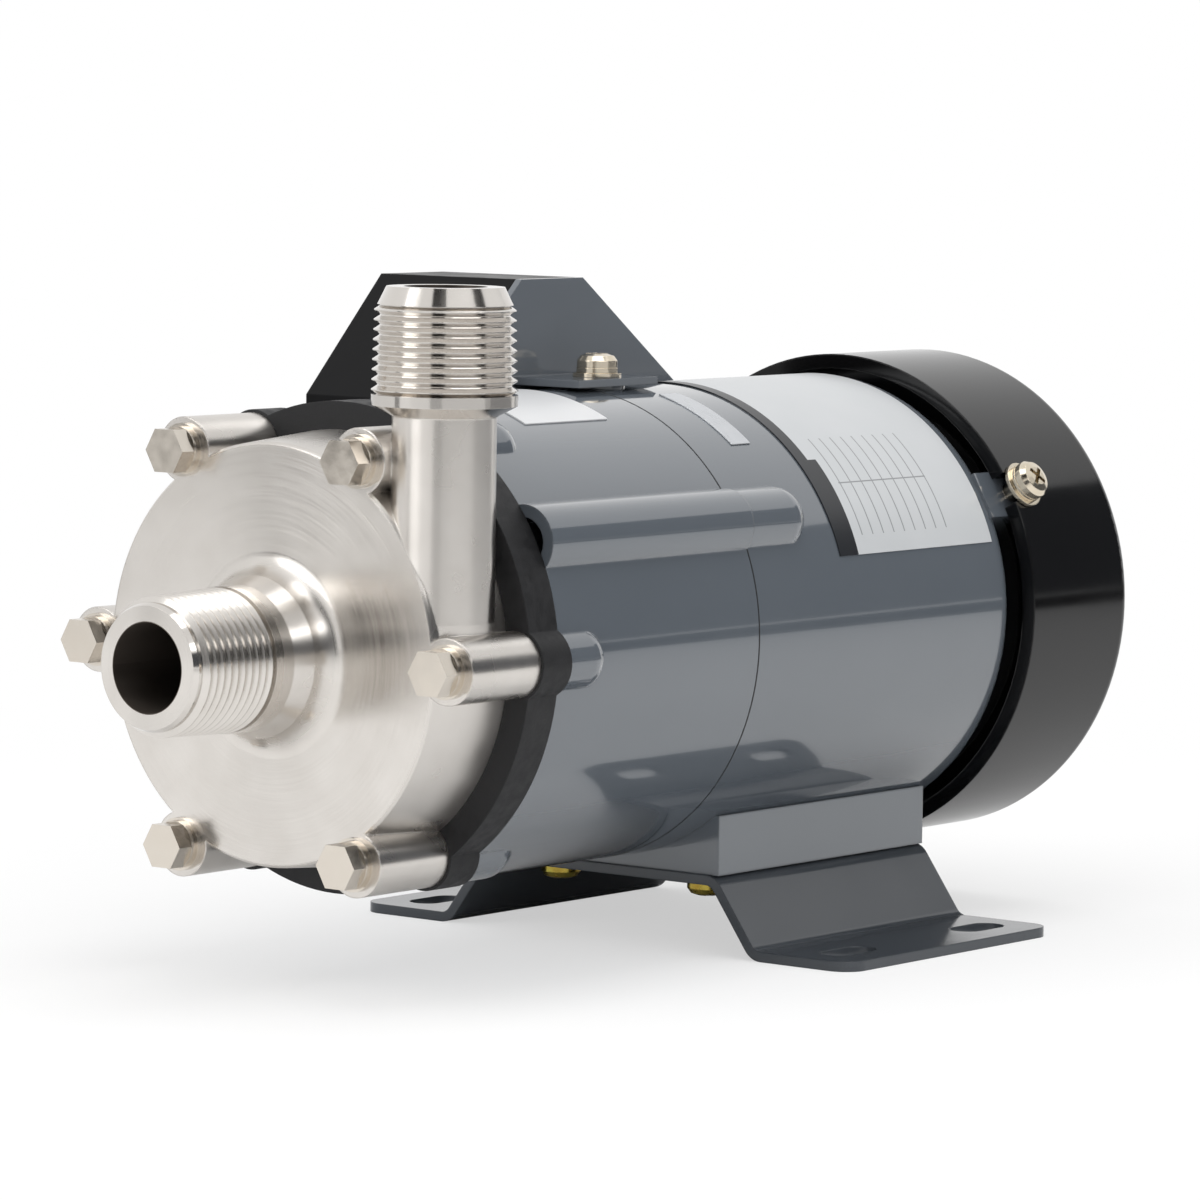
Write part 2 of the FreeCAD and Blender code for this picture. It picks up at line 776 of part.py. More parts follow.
def impeller_set():
    """Closed impeller with its driven magnet, bush, spindle and thrust rings."""
    nose_front = back_plate_front - mm.spindle_radius / 2
    bush_seat = mm.bush_radius
    spindle_bore = mm.spindle_radius + mm.hole_clearance
    closing = spindle_front - mm.can_wall / 2
    body = turned("impeller_body", AXIS, [
        (nose_front, 0),
        (nose_front, mm.spindle_radius / 2),
        (back_plate_front, mm.impeller_eye_radius),
        (back_plate_front, mm.impeller_radius),
        (back_plate_rear, mm.impeller_radius),
        (back_plate_rear, carrier_radius),
        (carrier_rear, carrier_radius),
        (carrier_rear, magnet_outer),
        (magnet_front, magnet_outer),
        (magnet_front, mm.magnet_inner_radius),
        (carrier_rear, mm.magnet_inner_radius),
        (carrier_rear, bush_seat),
        (bush_front, bush_seat),
        (bush_front, spindle_bore),
        (closing, spindle_bore),
        (closing, 0),
    ])
    shroud = tube("impeller_shroud", AXIS, mm.impeller_radius, mm.impeller_eye_radius, front_shroud, blade_front)
    neck = tube("impeller_neck", AXIS, mm.impeller_neck_radius, mm.impeller_eye_radius,
                impeller_front, front_shroud)
    # Each blade is an arc whose centre lies off the axis, so that it sweeps backwards
    arc_centre = mm.impeller_radius * 0.62
    arc_radius = mm.impeller_radius * 0.58
    inner = float(mm.impeller_eye_radius) + 1.5
    outer = float(mm.impeller_radius) - 0.4
    limits = []
    for reach in (inner, outer):
        cosine = (float(arc_centre) ** 2 + float(arc_radius) ** 2 - reach ** 2)
        limits.append(math.degrees(math.acos(cosine / (2 * float(arc_centre) * float(arc_radius)))))
    blades = []
    for index in range(IMPELLER_BLADES):
        angle = 360 * index / IMPELLER_BLADES
        spot = AXIS.spun(angle).at(arc_centre).spun(180 - limits[1])
        blades.append(sector("impeller_blade_" + str(index), spot, arc_radius + mm.blade_thickness / 2,
                             arc_radius - mm.blade_thickness / 2, blade_front, back_plate_front,
                             limits[1] - limits[0]))
    node("impeller", join("impeller", [body, shroud, neck] + blades))

    cap_front = carrier_rear - mm.magnet_cap_thickness
    ring_outer = magnet_outer - mm.fit_clearance
    ring_inner = mm.magnet_inner_radius + mm.fit_clearance
    node("impeller_magnet", tube("impeller_magnet", AXIS, ring_outer, ring_inner, magnet_front, cap_front))
    node("magnet_cap", tube("magnet_cap", AXIS, ring_outer, ring_inner, cap_front, carrier_rear))
    node("impeller_bush", tube("impeller_bush", AXIS, mm.bush_radius - mm.fit_clearance,
                               mm.spindle_radius + mm.bush_running_clearance, bush_front, carrier_rear))
    chamfer = mm.spindle_radius / 5
    node("spindle", turned("spindle", AXIS, [
        (spindle_front, 0),
        (spindle_front, mm.spindle_radius - chamfer),
        (spindle_front + chamfer, mm.spindle_radius),
        (can_floor, mm.spindle_radius),
        (can_floor, 0),
    ]))
    node("front_thrust_ring", tube("front_thrust_ring", AXIS, mm.thrust_ring_radius, mm.thrust_ring_bore,
                                   ring_front, ring_rear))
    node("rear_thrust_ring", tube("rear_thrust_ring", AXIS, mm.spindle_socket_radius,
                                  mm.spindle_radius + mm.fit_clearance, rear_ring_front, socket_front))


def rib_spots():
    return [(str(angle), AXIS.around(mm.rib_circle_radius, angle)) for angle in RIB_ANGLES]


screw_seat = housing_front - mm.rib_bridge
register_end = housing_front + mm.register_length


def front_bracket():
    """Cast bracket between head and motor, with the front bearing seat."""
    lip_rear = bracket_front + mm.bracket_lip_length
    lip_bore = cup_radius + mm.bracket_lip_gap
    shell = turned("bracket_shell", AXIS, [
        (bracket_front, lip_bore),
        (bracket_front, mm.motor_radius),
        (housing_front, mm.motor_radius),
        (housing_front, housing_bore - mm.fit_clearance),
        (register_end, housing_bore - mm.fit_clearance),
        (register_end, housing_bore - mm.partition_thickness),
        (front_bearing_start, housing_bore - mm.partition_thickness),
        (front_bearing_start, bearing_boss_radius),
        (front_bearing_end, bearing_boss_radius),
        (front_bearing_end, bearing_seat_radius),
        (front_bearing_start, bearing_seat_radius),
        (front_bearing_start, mm.partition_hole_radius),
        (front_bearing_start - mm.partition_thickness, mm.partition_hole_radius),
        (front_bearing_start - mm.partition_thickness, bracket_bore),
        (lip_rear, bracket_bore),
        (lip_rear, lip_bore),
    ])
    boss_end = bracket_front + mm.bracket_boss_length
    parts = [shell]
    tapped = []
    counterbores = []
    screw_holes = []
    reliefs = []
    for angle in BOLT_ANGLES:
        tag = "_" + str(angle)
        spot = AXIS.around(mm.bolt_circle_radius, angle)
        parts.append(cylinder("bracket_boss" + tag, spot, mm.boss_radius, bracket_front, boss_end))
        parts.append(ball("bracket_boss_end" + tag, spot, mm.boss_radius, boss_end))
        tapped.append(cylinder("bracket_tapped_hole" + tag, spot, tapped_bolt_radius, bracket_front,
                               casing_face - head_stack + mm.bolt_length + mm.soft_clearance))
    for tag, spot in rib_spots():
        parts.append(cylinder("bracket_rib_" + tag, spot, mm.rib_radius, bracket_front, housing_front))
        counterbores.append(cylinder("bracket_counterbore_" + tag, spot, mm.rib_head_radius + mm.hole_clearance,
                                     bracket_front, screw_seat))
        screw_holes.append(cylinder("bracket_screw_hole_" + tag, spot, mm.rib_screw_radius + mm.hole_clearance,
                                    bracket_front, register_end))
        reliefs.append(cylinder("bracket_rib_relief_" + tag, spot, mm.rib_radius + mm.soft_clearance,
                                housing_front, register_end))
    tools = [group("bracket_tapped_holes", tapped), group("bracket_counterbores", counterbores),
             group("bracket_screw_holes", screw_holes), group("bracket_rib_reliefs", reliefs)]
    return node("front_bracket", remove("front_bracket", join("bracket_blank", parts), tools))


def bracket_screws():
    screws = []
    for tag, spot in rib_spots():
        head = cylinder("bracket_screw_head_" + tag, spot, mm.rib_head_radius,
                        screw_seat - mm.rib_head_height, screw_seat)
        shank = cylinder("bracket_screw_shank_" + tag, spot, mm.rib_screw_radius,
                         screw_seat, screw_seat + mm.rib_screw_length)
        socket = hexagon("bracket_screw_socket_" + tag, spot, mm.rib_head_radius,
                         screw_seat - mm.rib_head_height, screw_seat - mm.rib_head_height / 2)
        screws.append(remove("bracket_screw_" + tag, join("bracket_screw_blank_" + tag, [head, shank]), [socket]))
    return node("bracket_screws", group("bracket_screws", screws))


flange_seat = mm.axis_height + mm.motor_radius + mm.flange_seat_step
lug_radius = mm.cover_radius - mm.cover_wall - mm.soft_clearance
cover_screw_x = cover_front + mm.notch_depth


def base_screw_places():
    return [(str(column) + str(row), mm.base_screw_x * column, mm.base_screw_y * row)
            for column in (-1, 1) for row in (-1, 1)]


def motor_housing():
    """Cast motor housing with the rear bearing seat, foot pad, screw ribs and cover lugs."""
    barrel = turned("housing_barrel", AXIS, [
        (housing_front, 0),
        (housing_front, mm.motor_radius),
        (housing_rear, mm.motor_radius),
        (housing_rear, 0),
    ])
    soften(barrel, mm.housing_edge_radius, circle_at(mm.motor_radius, housing_rear))
    ground = upward_spot(0, 0, 0)
    pad = box("housing_pad", ground, (-mm.pad_half_length, mm.pad_half_length),
              (-mm.pad_half_width, mm.pad_half_width), (plate_height, plate_height + mm.pad_height))
    seat_spot = upward_spot(mm.flange_screw_x, 0, 0)
    seat = cylinder("housing_seat", seat_spot, mm.seat_radius,
                    mm.axis_height + housing_bore - mm.housing_wall, flange_seat)
    cavity_rear = housing_rear - mm.rear_wall
    cavity = turned("housing_cavity", AXIS, [
        (housing_front, 0),
        (housing_front, housing_bore),
        (cavity_rear, housing_bore),
        (cavity_rear, bearing_boss_radius),
        (rear_bearing_start, bearing_boss_radius),
        (rear_bearing_start, bearing_seat_radius),
        (rear_seat_floor, bearing_seat_radius),
        (rear_seat_floor, mm.shaft_radius),
        (housing_rear, mm.shaft_radius),
        (housing_rear, 0),
    ])
    shell = remove("housing_shell", join("housing_blank", [barrel, pad, seat]), [cavity])
    rib_radius = mm.rib_radius - mm.rib_step
    rib_end = housing_front + mm.housing_rib_length - rib_radius
    parts = [shell]
    holes = [cylinder("housing_seat_hole", seat_spot, small_tapped_radius,
                      mm.axis_height + housing_bore - mm.housing_wall, flange_seat),
             cylinder("housing_lead_hole", upward_spot(mm.lead_x, mm.lead_y, mm.axis_height),
                      mm.lead_pitch * 2, mm.winding_outer_radius, mm.motor_radius)]
    for tag, spot in rib_spots():
        parts.append(cylinder("housing_rib_" + tag, spot, rib_radius, housing_front, rib_end))
        parts.append(ball("housing_rib_end_" + tag, spot, rib_radius, rib_end))
        holes.append(cylinder("housing_rib_hole_" + tag, spot, mm.rib_screw_radius + mm.thread_clearance,
                              housing_front, screw_seat + mm.rib_screw_length + mm.soft_clearance))
    half = mm.lug_width / 2
    for angle in COVER_SCREW_ANGLES:
        spot = radial_spot(0, angle)
        parts.append(box("housing_lug_" + str(angle), spot,
                         (cavity_rear + mm.housing_wall / 2, housing_rear + mm.lug_length), (-half, half),
                         (lug_radius - mm.lug_width, lug_radius)))
        holes.append(cylinder("housing_lug_hole_" + str(angle), spot.at(cover_screw_x), small_tapped_radius,
                              lug_radius - mm.lug_width, lug_radius))
    for tag, x, y in base_screw_places():
        holes.append(cylinder("housing_pad_hole_" + tag, upward_spot(x, y, 0), small_tapped_radius,
                              plate_height, plate_height + mm.base_screw_length - mm.plate_thickness))
    whole = join("housing_whole", parts)
    return node("motor_housing", remove("motor_housing", whole, [group("housing_holes", holes)]))


def bearing(name, start):
    """A deep groove ball bearing: two grooved races, balls and a cage."""
    middle = start + mm.bearing_width / 2
    end = start + mm.bearing_width
    pitch = (mm.bearing_bore_radius + mm.bearing_outer_radius) / 2
    groove = doc.addObject("Part::Torus", name + "_groove")
    bind(groove, "Radius1", pitch)
    bind(groove, "Radius2", mm.ball_radius + mm.fit_clearance)
    AXIS.place(groove, middle)
    outer = tube(name + "_outer_ring", AXIS, mm.bearing_outer_radius,
                 mm.bearing_outer_radius - mm.race_thickness, start, end)
    inner = tube(name + "_inner_ring", AXIS, mm.bearing_bore_radius + mm.race_thickness,
                 mm.bearing_bore_radius + mm.fit_clearance / 2, start, end)
    node(name + "_outer_race", remove(name + "_outer_race", outer, [groove]))
    node(name + "_inner_race", remove(name + "_inner_race", inner, [groove]))
    balls = []
    pockets = []
    for index in range(BEARING_BALLS):
        spot = AXIS.around(pitch, 360 * index / BEARING_BALLS)
        balls.append(ball(name + "_ball_" + str(index), spot, mm.ball_radius, middle))
        pockets.append(cylinder(name + "_pocket_" + str(index),
                                radial_spot(middle, 360 * index / BEARING_BALLS),
                                mm.ball_radius + mm.hole_clearance / 2, pitch - mm.cage_thickness,
                                pitch + mm.cage_thickness))
    node(name + "_balls", group(name + "_balls", balls))
    half_cage = mm.ball_radius + mm.cage_thickness * 0.7
    band = tube(name + "_band", AXIS, pitch + mm.cage_thickness / 2, pitch - mm.cage_thickness / 2,
                middle - half_cage, middle + half_cage)
    node(name + "_cage", remove(name + "_cage", band, [group(name + "_pockets", pockets)]))


def stator():
    """Laminated core with round slots, and the windings that pass through them."""
    ring = tube("stator_ring", AXIS, housing_bore - mm.fit_clearance, mm.stator_bore_radius,
                stator_front, stator_rear)
    wire = mm.slot_radius - mm.soft_clearance / 2
    step = 360 / STATOR_SLOTS
    slots = []
    bars = []
    for index in range(STATOR_SLOTS):
        spot = AXIS.around(mm.slot_circle_radius, step * (index + 0.5))
        slots.append(cylinder("stator_slot_" + str(index), spot, mm.slot_radius, stator_front, stator_rear))
        bars.append(cylinder("winding_bar_" + str(index), spot, wire,
                             stator_front - mm.slot_radius, stator_rear + mm.slot_radius))
    node("stator_core", remove("stator_core", ring, [group("stator_slots", slots)]))
    ends = [tube("winding_front", AXIS, mm.winding_outer_radius, mm.winding_inner_radius,
                 stator_front - mm.winding_overhang, stator_front - mm.soft_clearance),
            tube("winding_rear", AXIS, mm.winding_outer_radius, mm.winding_inner_radius,
                 stator_rear + mm.soft_clearance, stator_rear + mm.winding_overhang)]
    node("stator_windings", join("stator_windings", ends + bars))


def rotor():
    """Rotor laminations and the cast cage of bars and end rings."""
    core = tube("rotor_disc", AXIS, rotor_radius, mm.shaft_radius + mm.fit_clearance, stator_front, stator_rear)
    holes = []
    bars = []
    for index in range(ROTOR_BARS):
        spot = AXIS.around(mm.rotor_bar_circle, 360 * index / ROTOR_BARS)
        holes.append(cylinder("rotor_hole_" + str(index), spot, mm.rotor_bar_radius + mm.fit_clearance,
                              stator_front, stator_rear))
        bars.append(cylinder("rotor_bar_" + str(index), spot, mm.rotor_bar_radius,
                             stator_front - mm.end_ring_thickness, stator_rear + mm.end_ring_thickness))
    node("rotor_core", remove("rotor_core", core, [group("rotor_holes", holes)]))
    outer = mm.rotor_bar_circle + mm.rotor_bar_radius + mm.fit_clearance * 10
    inner = mm.rotor_bar_circle - mm.rotor_bar_radius * 3
    ends = [tube("rotor_front_ring", AXIS, outer, inner, stator_front - mm.end_ring_thickness, stator_front),
            tube("rotor_rear_ring", AXIS, outer, inner, stator_rear, stator_rear + mm.end_ring_thickness)]
    node("rotor_cage", join("rotor_cage", ends + bars))


fan_front = housing_rear + mm.fan_start
fan_rear = fan_front + mm.fan_hub_length
clip_thickness = mm.spring_space
clip_groove = mm.fan_seat_radius * 0.92


def motor_shaft():
    """Stepped shaft from the drive cup to the fan, with a clip groove."""
    groove_end = fan_rear + clip_thickness * 1.3
    shaft_front = cup_plate_front
    fan_shoulder = fan_front - mm.bearing_bore_radius / 3
    return node("motor_shaft", turned("motor_shaft", AXIS, [
        (shaft_front, 0),
        (shaft_front, mm.bearing_bore_radius),
        (front_bearing_end, mm.bearing_bore_radius),
        (front_bearing_end, mm.shaft_radius),
        (rear_bearing_start, mm.shaft_radius),
        (rear_bearing_start, mm.bearing_bore_radius),
        (fan_shoulder, mm.bearing_bore_radius),
        (fan_shoulder, mm.fan_seat_radius),
        (fan_rear, mm.fan_seat_radius),
        (fan_rear, clip_groove),
        (groove_end, clip_groove),
        (groove_end, mm.fan_seat_radius),
        (groove_end + clip_thickness, mm.fan_seat_radius),
        (groove_end + clip_thickness, 0),
    ]))


def drive_cup():
    """Cup on the motor shaft that carries the drive magnets round the can."""
    boss_end = cup_plate_rear + mm.cup_boss_length
    hub_bore = mm.bearing_bore_radius + mm.fit_clearance
    blank = turned("drive_cup_blank", AXIS, [
        (cup_front, drive_outer + mm.fit_clearance),
        (cup_front, cup_radius),
        (cup_plate_rear, cup_radius),
        (cup_plate_rear, mm.cup_boss_radius),
        (boss_end, mm.cup_boss_radius),
        (boss_end, hub_bore),
        (cup_plate_front, hub_bore),
        (cup_plate_front, drive_outer + mm.fit_clearance),
    ])
    top = radial_spot(cup_plate_rear + mm.cup_boss_length / 2, 90)
    hole = cylinder("drive_cup_screw_hole", top, mm.set_screw_radius + mm.thread_clearance,
                    mm.bearing_bore_radius, mm.cup_boss_radius)
    node("drive_cup", remove("drive_cup", blank, [hole]))
    screw = cylinder("set_screw_blank", top, mm.set_screw_radius,
                     mm.bearing_bore_radius + mm.thread_clearance, mm.cup_boss_radius - mm.soft_clearance)
    socket = hexagon("set_screw_socket", top, mm.set_screw_radius,
                     mm.cup_boss_radius - mm.set_screw_radius, mm.cup_boss_radius)
    node("hub_set_screw", remove("hub_set_screw", screw, [socket]))
    step = 360 / MAGNET_POLES
    magnets = [sector("drive_magnet_" + str(index), AXIS.spun(step * index), drive_outer, drive_bore,
                      cup_front + mm.soft_clearance, cup_plate_front - mm.fit_clearance * 10, step * 0.96)
               for index in range(MAGNET_POLES)]
    node("drive_magnets", group("drive_magnets", magnets))


def cooling_fan():
    """Radial fan behind the housing, held on the shaft by a clip."""
    plate_front = fan_front + mm.fan_plate_gap
    plate_rear = plate_front + mm.fan_plate_thickness
    hub = tube("fan_hub", AXIS, mm.fan_hub_radius, mm.fan_seat_radius + mm.fit_clearance, fan_front, fan_rear)
    plate = tube("fan_plate", AXIS, mm.fan_radius - mm.blade_thickness, mm.fan_hub_radius - mm.blade_thickness,
                 plate_front, plate_rear)
    half = mm.blade_thickness / 2
    blades = [box("fan_blade_" + str(index), AXIS.spun(360 * index / FAN_BLADES),
                  (mm.fan_hub_radius - half, mm.fan_radius), (-half, half),
                  (plate_rear - half, plate_rear + mm.fan_blade_width)) for index in range(FAN_BLADES)]
    node("cooling_fan", join("cooling_fan", [hub, plate] + blades))
    node("fan_clip", tube("fan_clip", AXIS, mm.fan_clip_radius, clip_groove + mm.fit_clearance,
                          fan_rear + mm.fit_clearance, fan_rear + clip_thickness))


def preload_spring():
    """Wave washer that loads the rear bearing, drawn flat at its working height."""
    node("preload_spring", tube("preload_spring", AXIS, mm.bearing_outer_radius - mm.fit_clearance,
                                mm.bearing_outer_radius - mm.race_thickness + mm.soft_clearance,
                                rear_bearing_end, rear_seat_floor))


def fan_cover():
    """Fan cover with three screw notches in its rim and a slotted rear grille."""
    inner = mm.cover_radius - mm.cover_wall
    grille_front = cover_rear - mm.cover_end_wall
    shell = turned("cover_shell", AXIS, [
        (cover_front, inner),
        (cover_front, mm.cover_radius),
        (cover_rear, mm.cover_radius),
        (cover_rear, 0),
        (grille_front, 0),
        (grille_front, inner),
    ])
    soften(shell, mm.cover_edge_radius, circle_at(mm.cover_radius, cover_rear))
    notches = []
    mouths = []
    for angle in COVER_SCREW_ANGLES:
        spot = radial_spot(cover_screw_x, angle)
        notches.append(cylinder("cover_notch_" + str(angle), spot, mm.notch_radius, inner - 1,
                                mm.cover_radius + 1))
        mouths.append(box("cover_notch_mouth_" + str(angle), spot, (-mm.notch_depth, 0),
                          (-mm.notch_radius, mm.notch_radius), (inner - 1, mm.cover_radius + 1)))
    half = mm.grille_slot_width / 2
    rings = [(mm.grille_inner_radius, 10), (mm.grille_inner_radius + mm.grille_ring_length + mm.grille_bar, 22)]
    slots = [box("cover_slot_" + str(count) + "_" + str(index), AXIS.spun(360 * (index + 0.5) / count),
                 (start, start + mm.grille_ring_length), (-half, half), (grille_front - 1, cover_rear + 1))
             for start, count in rings for index in range(count)]
    tools = [group("cover_notches", notches), group("cover_notch_mouths", mouths), group("cover_slots", slots)]
    return node("fan_cover", remove("fan_cover", shell, tools))


def pan_screw(name, spot, length):
    """Cross recess pan head screw: local z points out of the head, from its underside."""
    head_edge = mm.pan_height * 0.5
    blank = turned(name + "_blank", spot, [
        (-as_size(length), 0),
        (-as_size(length), mm.small_screw_radius),
        (0, mm.small_screw_radius),
        (0, mm.pan_radius),
        (head_edge, mm.pan_radius),
        (mm.pan_height * 0.85, mm.pan_radius * 0.82),
        (mm.pan_height, mm.pan_radius * 0.5),
        (mm.pan_height, 0),
    ])
    half_width = mm.pan_radius * 0.12
    half_length = mm.pan_radius * 0.55
    deep = (mm.pan_height * 0.35, mm.pan_height + 1)
    slots = [box(name + "_slot_" + str(turn), spot.spun(turn), (-half_length, half_length),
                 (-half_width, half_width), deep) for turn in (45, 135)]
    return remove(name, blank, slots)


def small_flat_washer(name, spot, start):
    return tube(name, spot, mm.small_washer_radius, small_hole_radius, start, start + mm.small_washer_thickness)


def small_spring_washer(name, spot, start):
    end = start + mm.small_spring_thickness
    ring = tube(name + "_ring", spot, mm.small_spring_radius, small_hole_radius, start, end)
    gap = box(name + "_gap", spot, (0, mm.small_washer_radius), (0, mm.hole_clearance * 2), (start, end))
    return remove(name, ring, [gap])


def cover_screws():
    """Radial screws through the cover notches into the housing lugs."""
    screws = []
    spring_washers = []
    flat_washers = []
    for angle in COVER_SCREW_ANGLES:
        tag = "_" + str(angle)
        spot = radial_spot(cover_screw_x, angle)
        spring_start = mm.cover_radius + mm.small_washer_thickness
        flat_washers.append(small_flat_washer("cover_flat" + tag, spot, mm.cover_radius))
        spring_washers.append(small_spring_washer("cover_spring" + tag, spot, spring_start))
        screws.append(pan_screw("cover_screw" + tag, spot.at(w=mm.cover_radius + small_stack),
                                mm.cover_wall + small_stack + mm.lug_width * 0.6))
    node("cover_screws", group("cover_screws", screws))
    node("cover_spring_washers", group("cover_spring_washers", spring_washers))
    node("cover_flat_washers", group("cover_flat_washers", flat_washers))


def base_plate():
    """Bent sheet base: raised seat for the pad, two sloping legs and two slotted feet."""
    half_width = mm.plate_width / 2
    rise = plate_height - mm.plate_thickness
    slope = math.atan2(float(rise), float(mm.foot_bend - mm.top_bend))
    inset = mm.plate_thickness * math.tan(slope / 2)
    upper = [(half_width, mm.plate_thickness), (mm.foot_bend, mm.plate_thickness), (mm.top_bend, plate_height)]
    lower = [(half_width, 0), (mm.foot_bend - inset, 0), (mm.top_bend - inset, rise)]
    right = lower[::-1] + upper
    left = [(-across, up) for across, up in upper[::-1] + lower]
    spot = Spot((mm.plate_length * -0.5, 0, 0), (0, 1, 0), (0, 0, 1))
    body = padded("base_plate_sheet", spot, right + left, mm.plate_length)
    tight = [upper[1], lower[2]]
    wide = [upper[2], lower[1]]
    for radius, corners in ((mm.bend_radius, tight), (mm.bend_radius + mm.plate_thickness, wide)):
        soften(body, radius, line_at(2, corners + [(-across, up) for across, up in corners]))
    tips = [(side * half_width, end) for side in (-1, 1) for end in (0, mm.plate_length)]
    soften(body, mm.foot_corner_radius, line_at(1, tips))
    straight = mm.slot_length / 2 - mm.slot_half_width
    through = (-1, mm.plate_thickness + 1)
    middles = []
    ends = {-1: [], 1: []}
    for column in (-1, 1):
        for row in (-1, 1):
            tag = "_" + str(column) + str(row)
            slot = upward_spot(mm.slot_spacing_x * (column / 2), mm.slot_spacing_y * (row / 2), 0)
            middles.append(box("base_slot" + tag, slot, (-straight, straight),
                               (-mm.slot_half_width, mm.slot_half_width), through))
            for side, cylinders in ends.items():
                cylinders.append(cylinder("base_slot_end" + tag + str(side), slot.at(straight * side),
                                          mm.slot_half_width, *through))
    holes = [cylinder("base_hole_" + tag, upward_spot(x, y, 0), small_hole_radius,
                      rise - 1, plate_height + 1) for tag, x, y in base_screw_places()]
    tools = [group("base_slot_middles", middles), group("base_slot_fronts", ends[-1]),
             group("base_slot_rears", ends[1]), group("base_holes", holes)]
    return node("base_plate", remove("base_plate", body, tools))


def base_screws():
    """Yellow screws that hold the base plate under the housing pad."""
    screws = []
    washers = []
    underside = plate_height - mm.plate_thickness
    for tag, x, y in base_screw_places():
        spot = downward_spot(x, y, underside)
        washers.append(small_spring_washer("base_spring_" + tag, spot, as_size(0)))
        screws.append(pan_screw("base_screw_" + tag, spot.at(w=mm.small_spring_thickness),
                                mm.small_spring_thickness + mm.base_screw_length - mm.soft_clearance))
    node("base_screws", group("base_screws", screws))
    node("base_washers", group("base_washers", washers))


# The capacitor rests beside the motor barrel, and the box is built round it
capacitor_spot = AXIS.around(mm.motor_radius + mm.capacitor_gap + mm.capacitor_radius, CAPACITOR_ANGLE)
capacitor_y = capacitor_spot.origin[1]
capacitor_z = capacitor_spot.origin[2]
box_boss_radius = mm.small_screw_radius + mm.box_sheet
box_screw_height = capacitor_z + mm.capacitor_radius + mm.capacitor_top_gap + box_boss_radius
box_top = box_screw_height + mm.box_screw_inset
box_front_corner = box_top - mm.box_front_drop
box_rear_corner = box_top - mm.box_rear_drop
box_bottom = mm.axis_height + mm.box_bottom_rise
gland_z = box_bottom + mm.gland_rise
box_inner_y = mm.box_wall_y + mm.box_sheet
box_outer_y = capacitor_y + mm.capacitor_radius + mm.capacitor_side_gap + mm.box_wall
block_top = box_screw_height - box_boss_radius - mm.block_top_gap
block_bottom = block_top - mm.block_height


def terminal_box_bracket():
    """Sheet wall of the terminal box with its screwed flange and two nuts."""
    wall_spot = Spot((0, box_inner_y, 0), (1, 0, 0), (0, 0, 1))
    floor = box_rear_corner
    wall = padded("box_bracket_wall", wall_spot, [
        (mm.box_front, floor),
        (mm.box_rear, floor),
        (mm.box_top_rear, box_top),
        (mm.box_top_front, box_top),
    ], mm.box_sheet)
    ground = upward_spot(0, 0, 0)
    flange_top = flange_seat + mm.box_sheet
    flange = box("box_bracket_flange", ground, (mm.flange_front, mm.flange_rear),
                 (mm.box_wall_y - mm.flange_reach, box_inner_y), (flange_seat, flange_top))
    parts = [wall, flange]
    tools = [cylinder("box_bracket_hole", upward_spot(mm.flange_screw_x, 0, 0), small_hole_radius,
                      flange_seat - 1, flange_top + 1)]
    for tag, x in (("front", mm.box_screw_front), ("rear", mm.box_screw_rear)):
        spot = far_side_spot(x, box_inner_y, box_screw_height)
        parts.append(cylinder("box_nut_" + tag, spot, box_boss_radius,
                              -mm.box_sheet / 2, mm.box_nut_height))
        tools.append(cylinder("box_nut_hole_" + tag, spot, small_tapped_radius, 0, mm.box_nut_height))
    return node("terminal_box_bracket", remove("terminal_box_bracket", join("box_bracket_blank", parts), tools))


def box_outline(inset):
    """The box profile in X and Z, drawn in by a wall thickness."""
    corners = [(mm.box_front, box_bottom), (mm.box_rear, box_bottom),
               (mm.box_rear, box_rear_corner), (mm.box_top_rear, box_top),
               (mm.box_top_front, box_top), (mm.box_front, box_front_corner)]
    drawn = []
    count = len(corners)
    for index, (x, z) in enumerate(corners):
        before = corners[index - 1]
        after = corners[(index + 1) % count]
        normals = []
        for start, end in ((before, (x, z)), ((x, z), after)):
            run = float(end[0]) - float(start[0])
            rise = float(end[1]) - float(start[1])
            length = math.hypot(run, rise)
            normals.append((-rise / length, run / length))
        scale = 1 + normals[0][0] * normals[1][0] + normals[0][1] * normals[1][1]
        drawn.append((x + inset * ((normals[0][0] + normals[1][0]) / scale),
                      z + inset * ((normals[0][1] + normals[1][1]) / scale)))
    return drawn


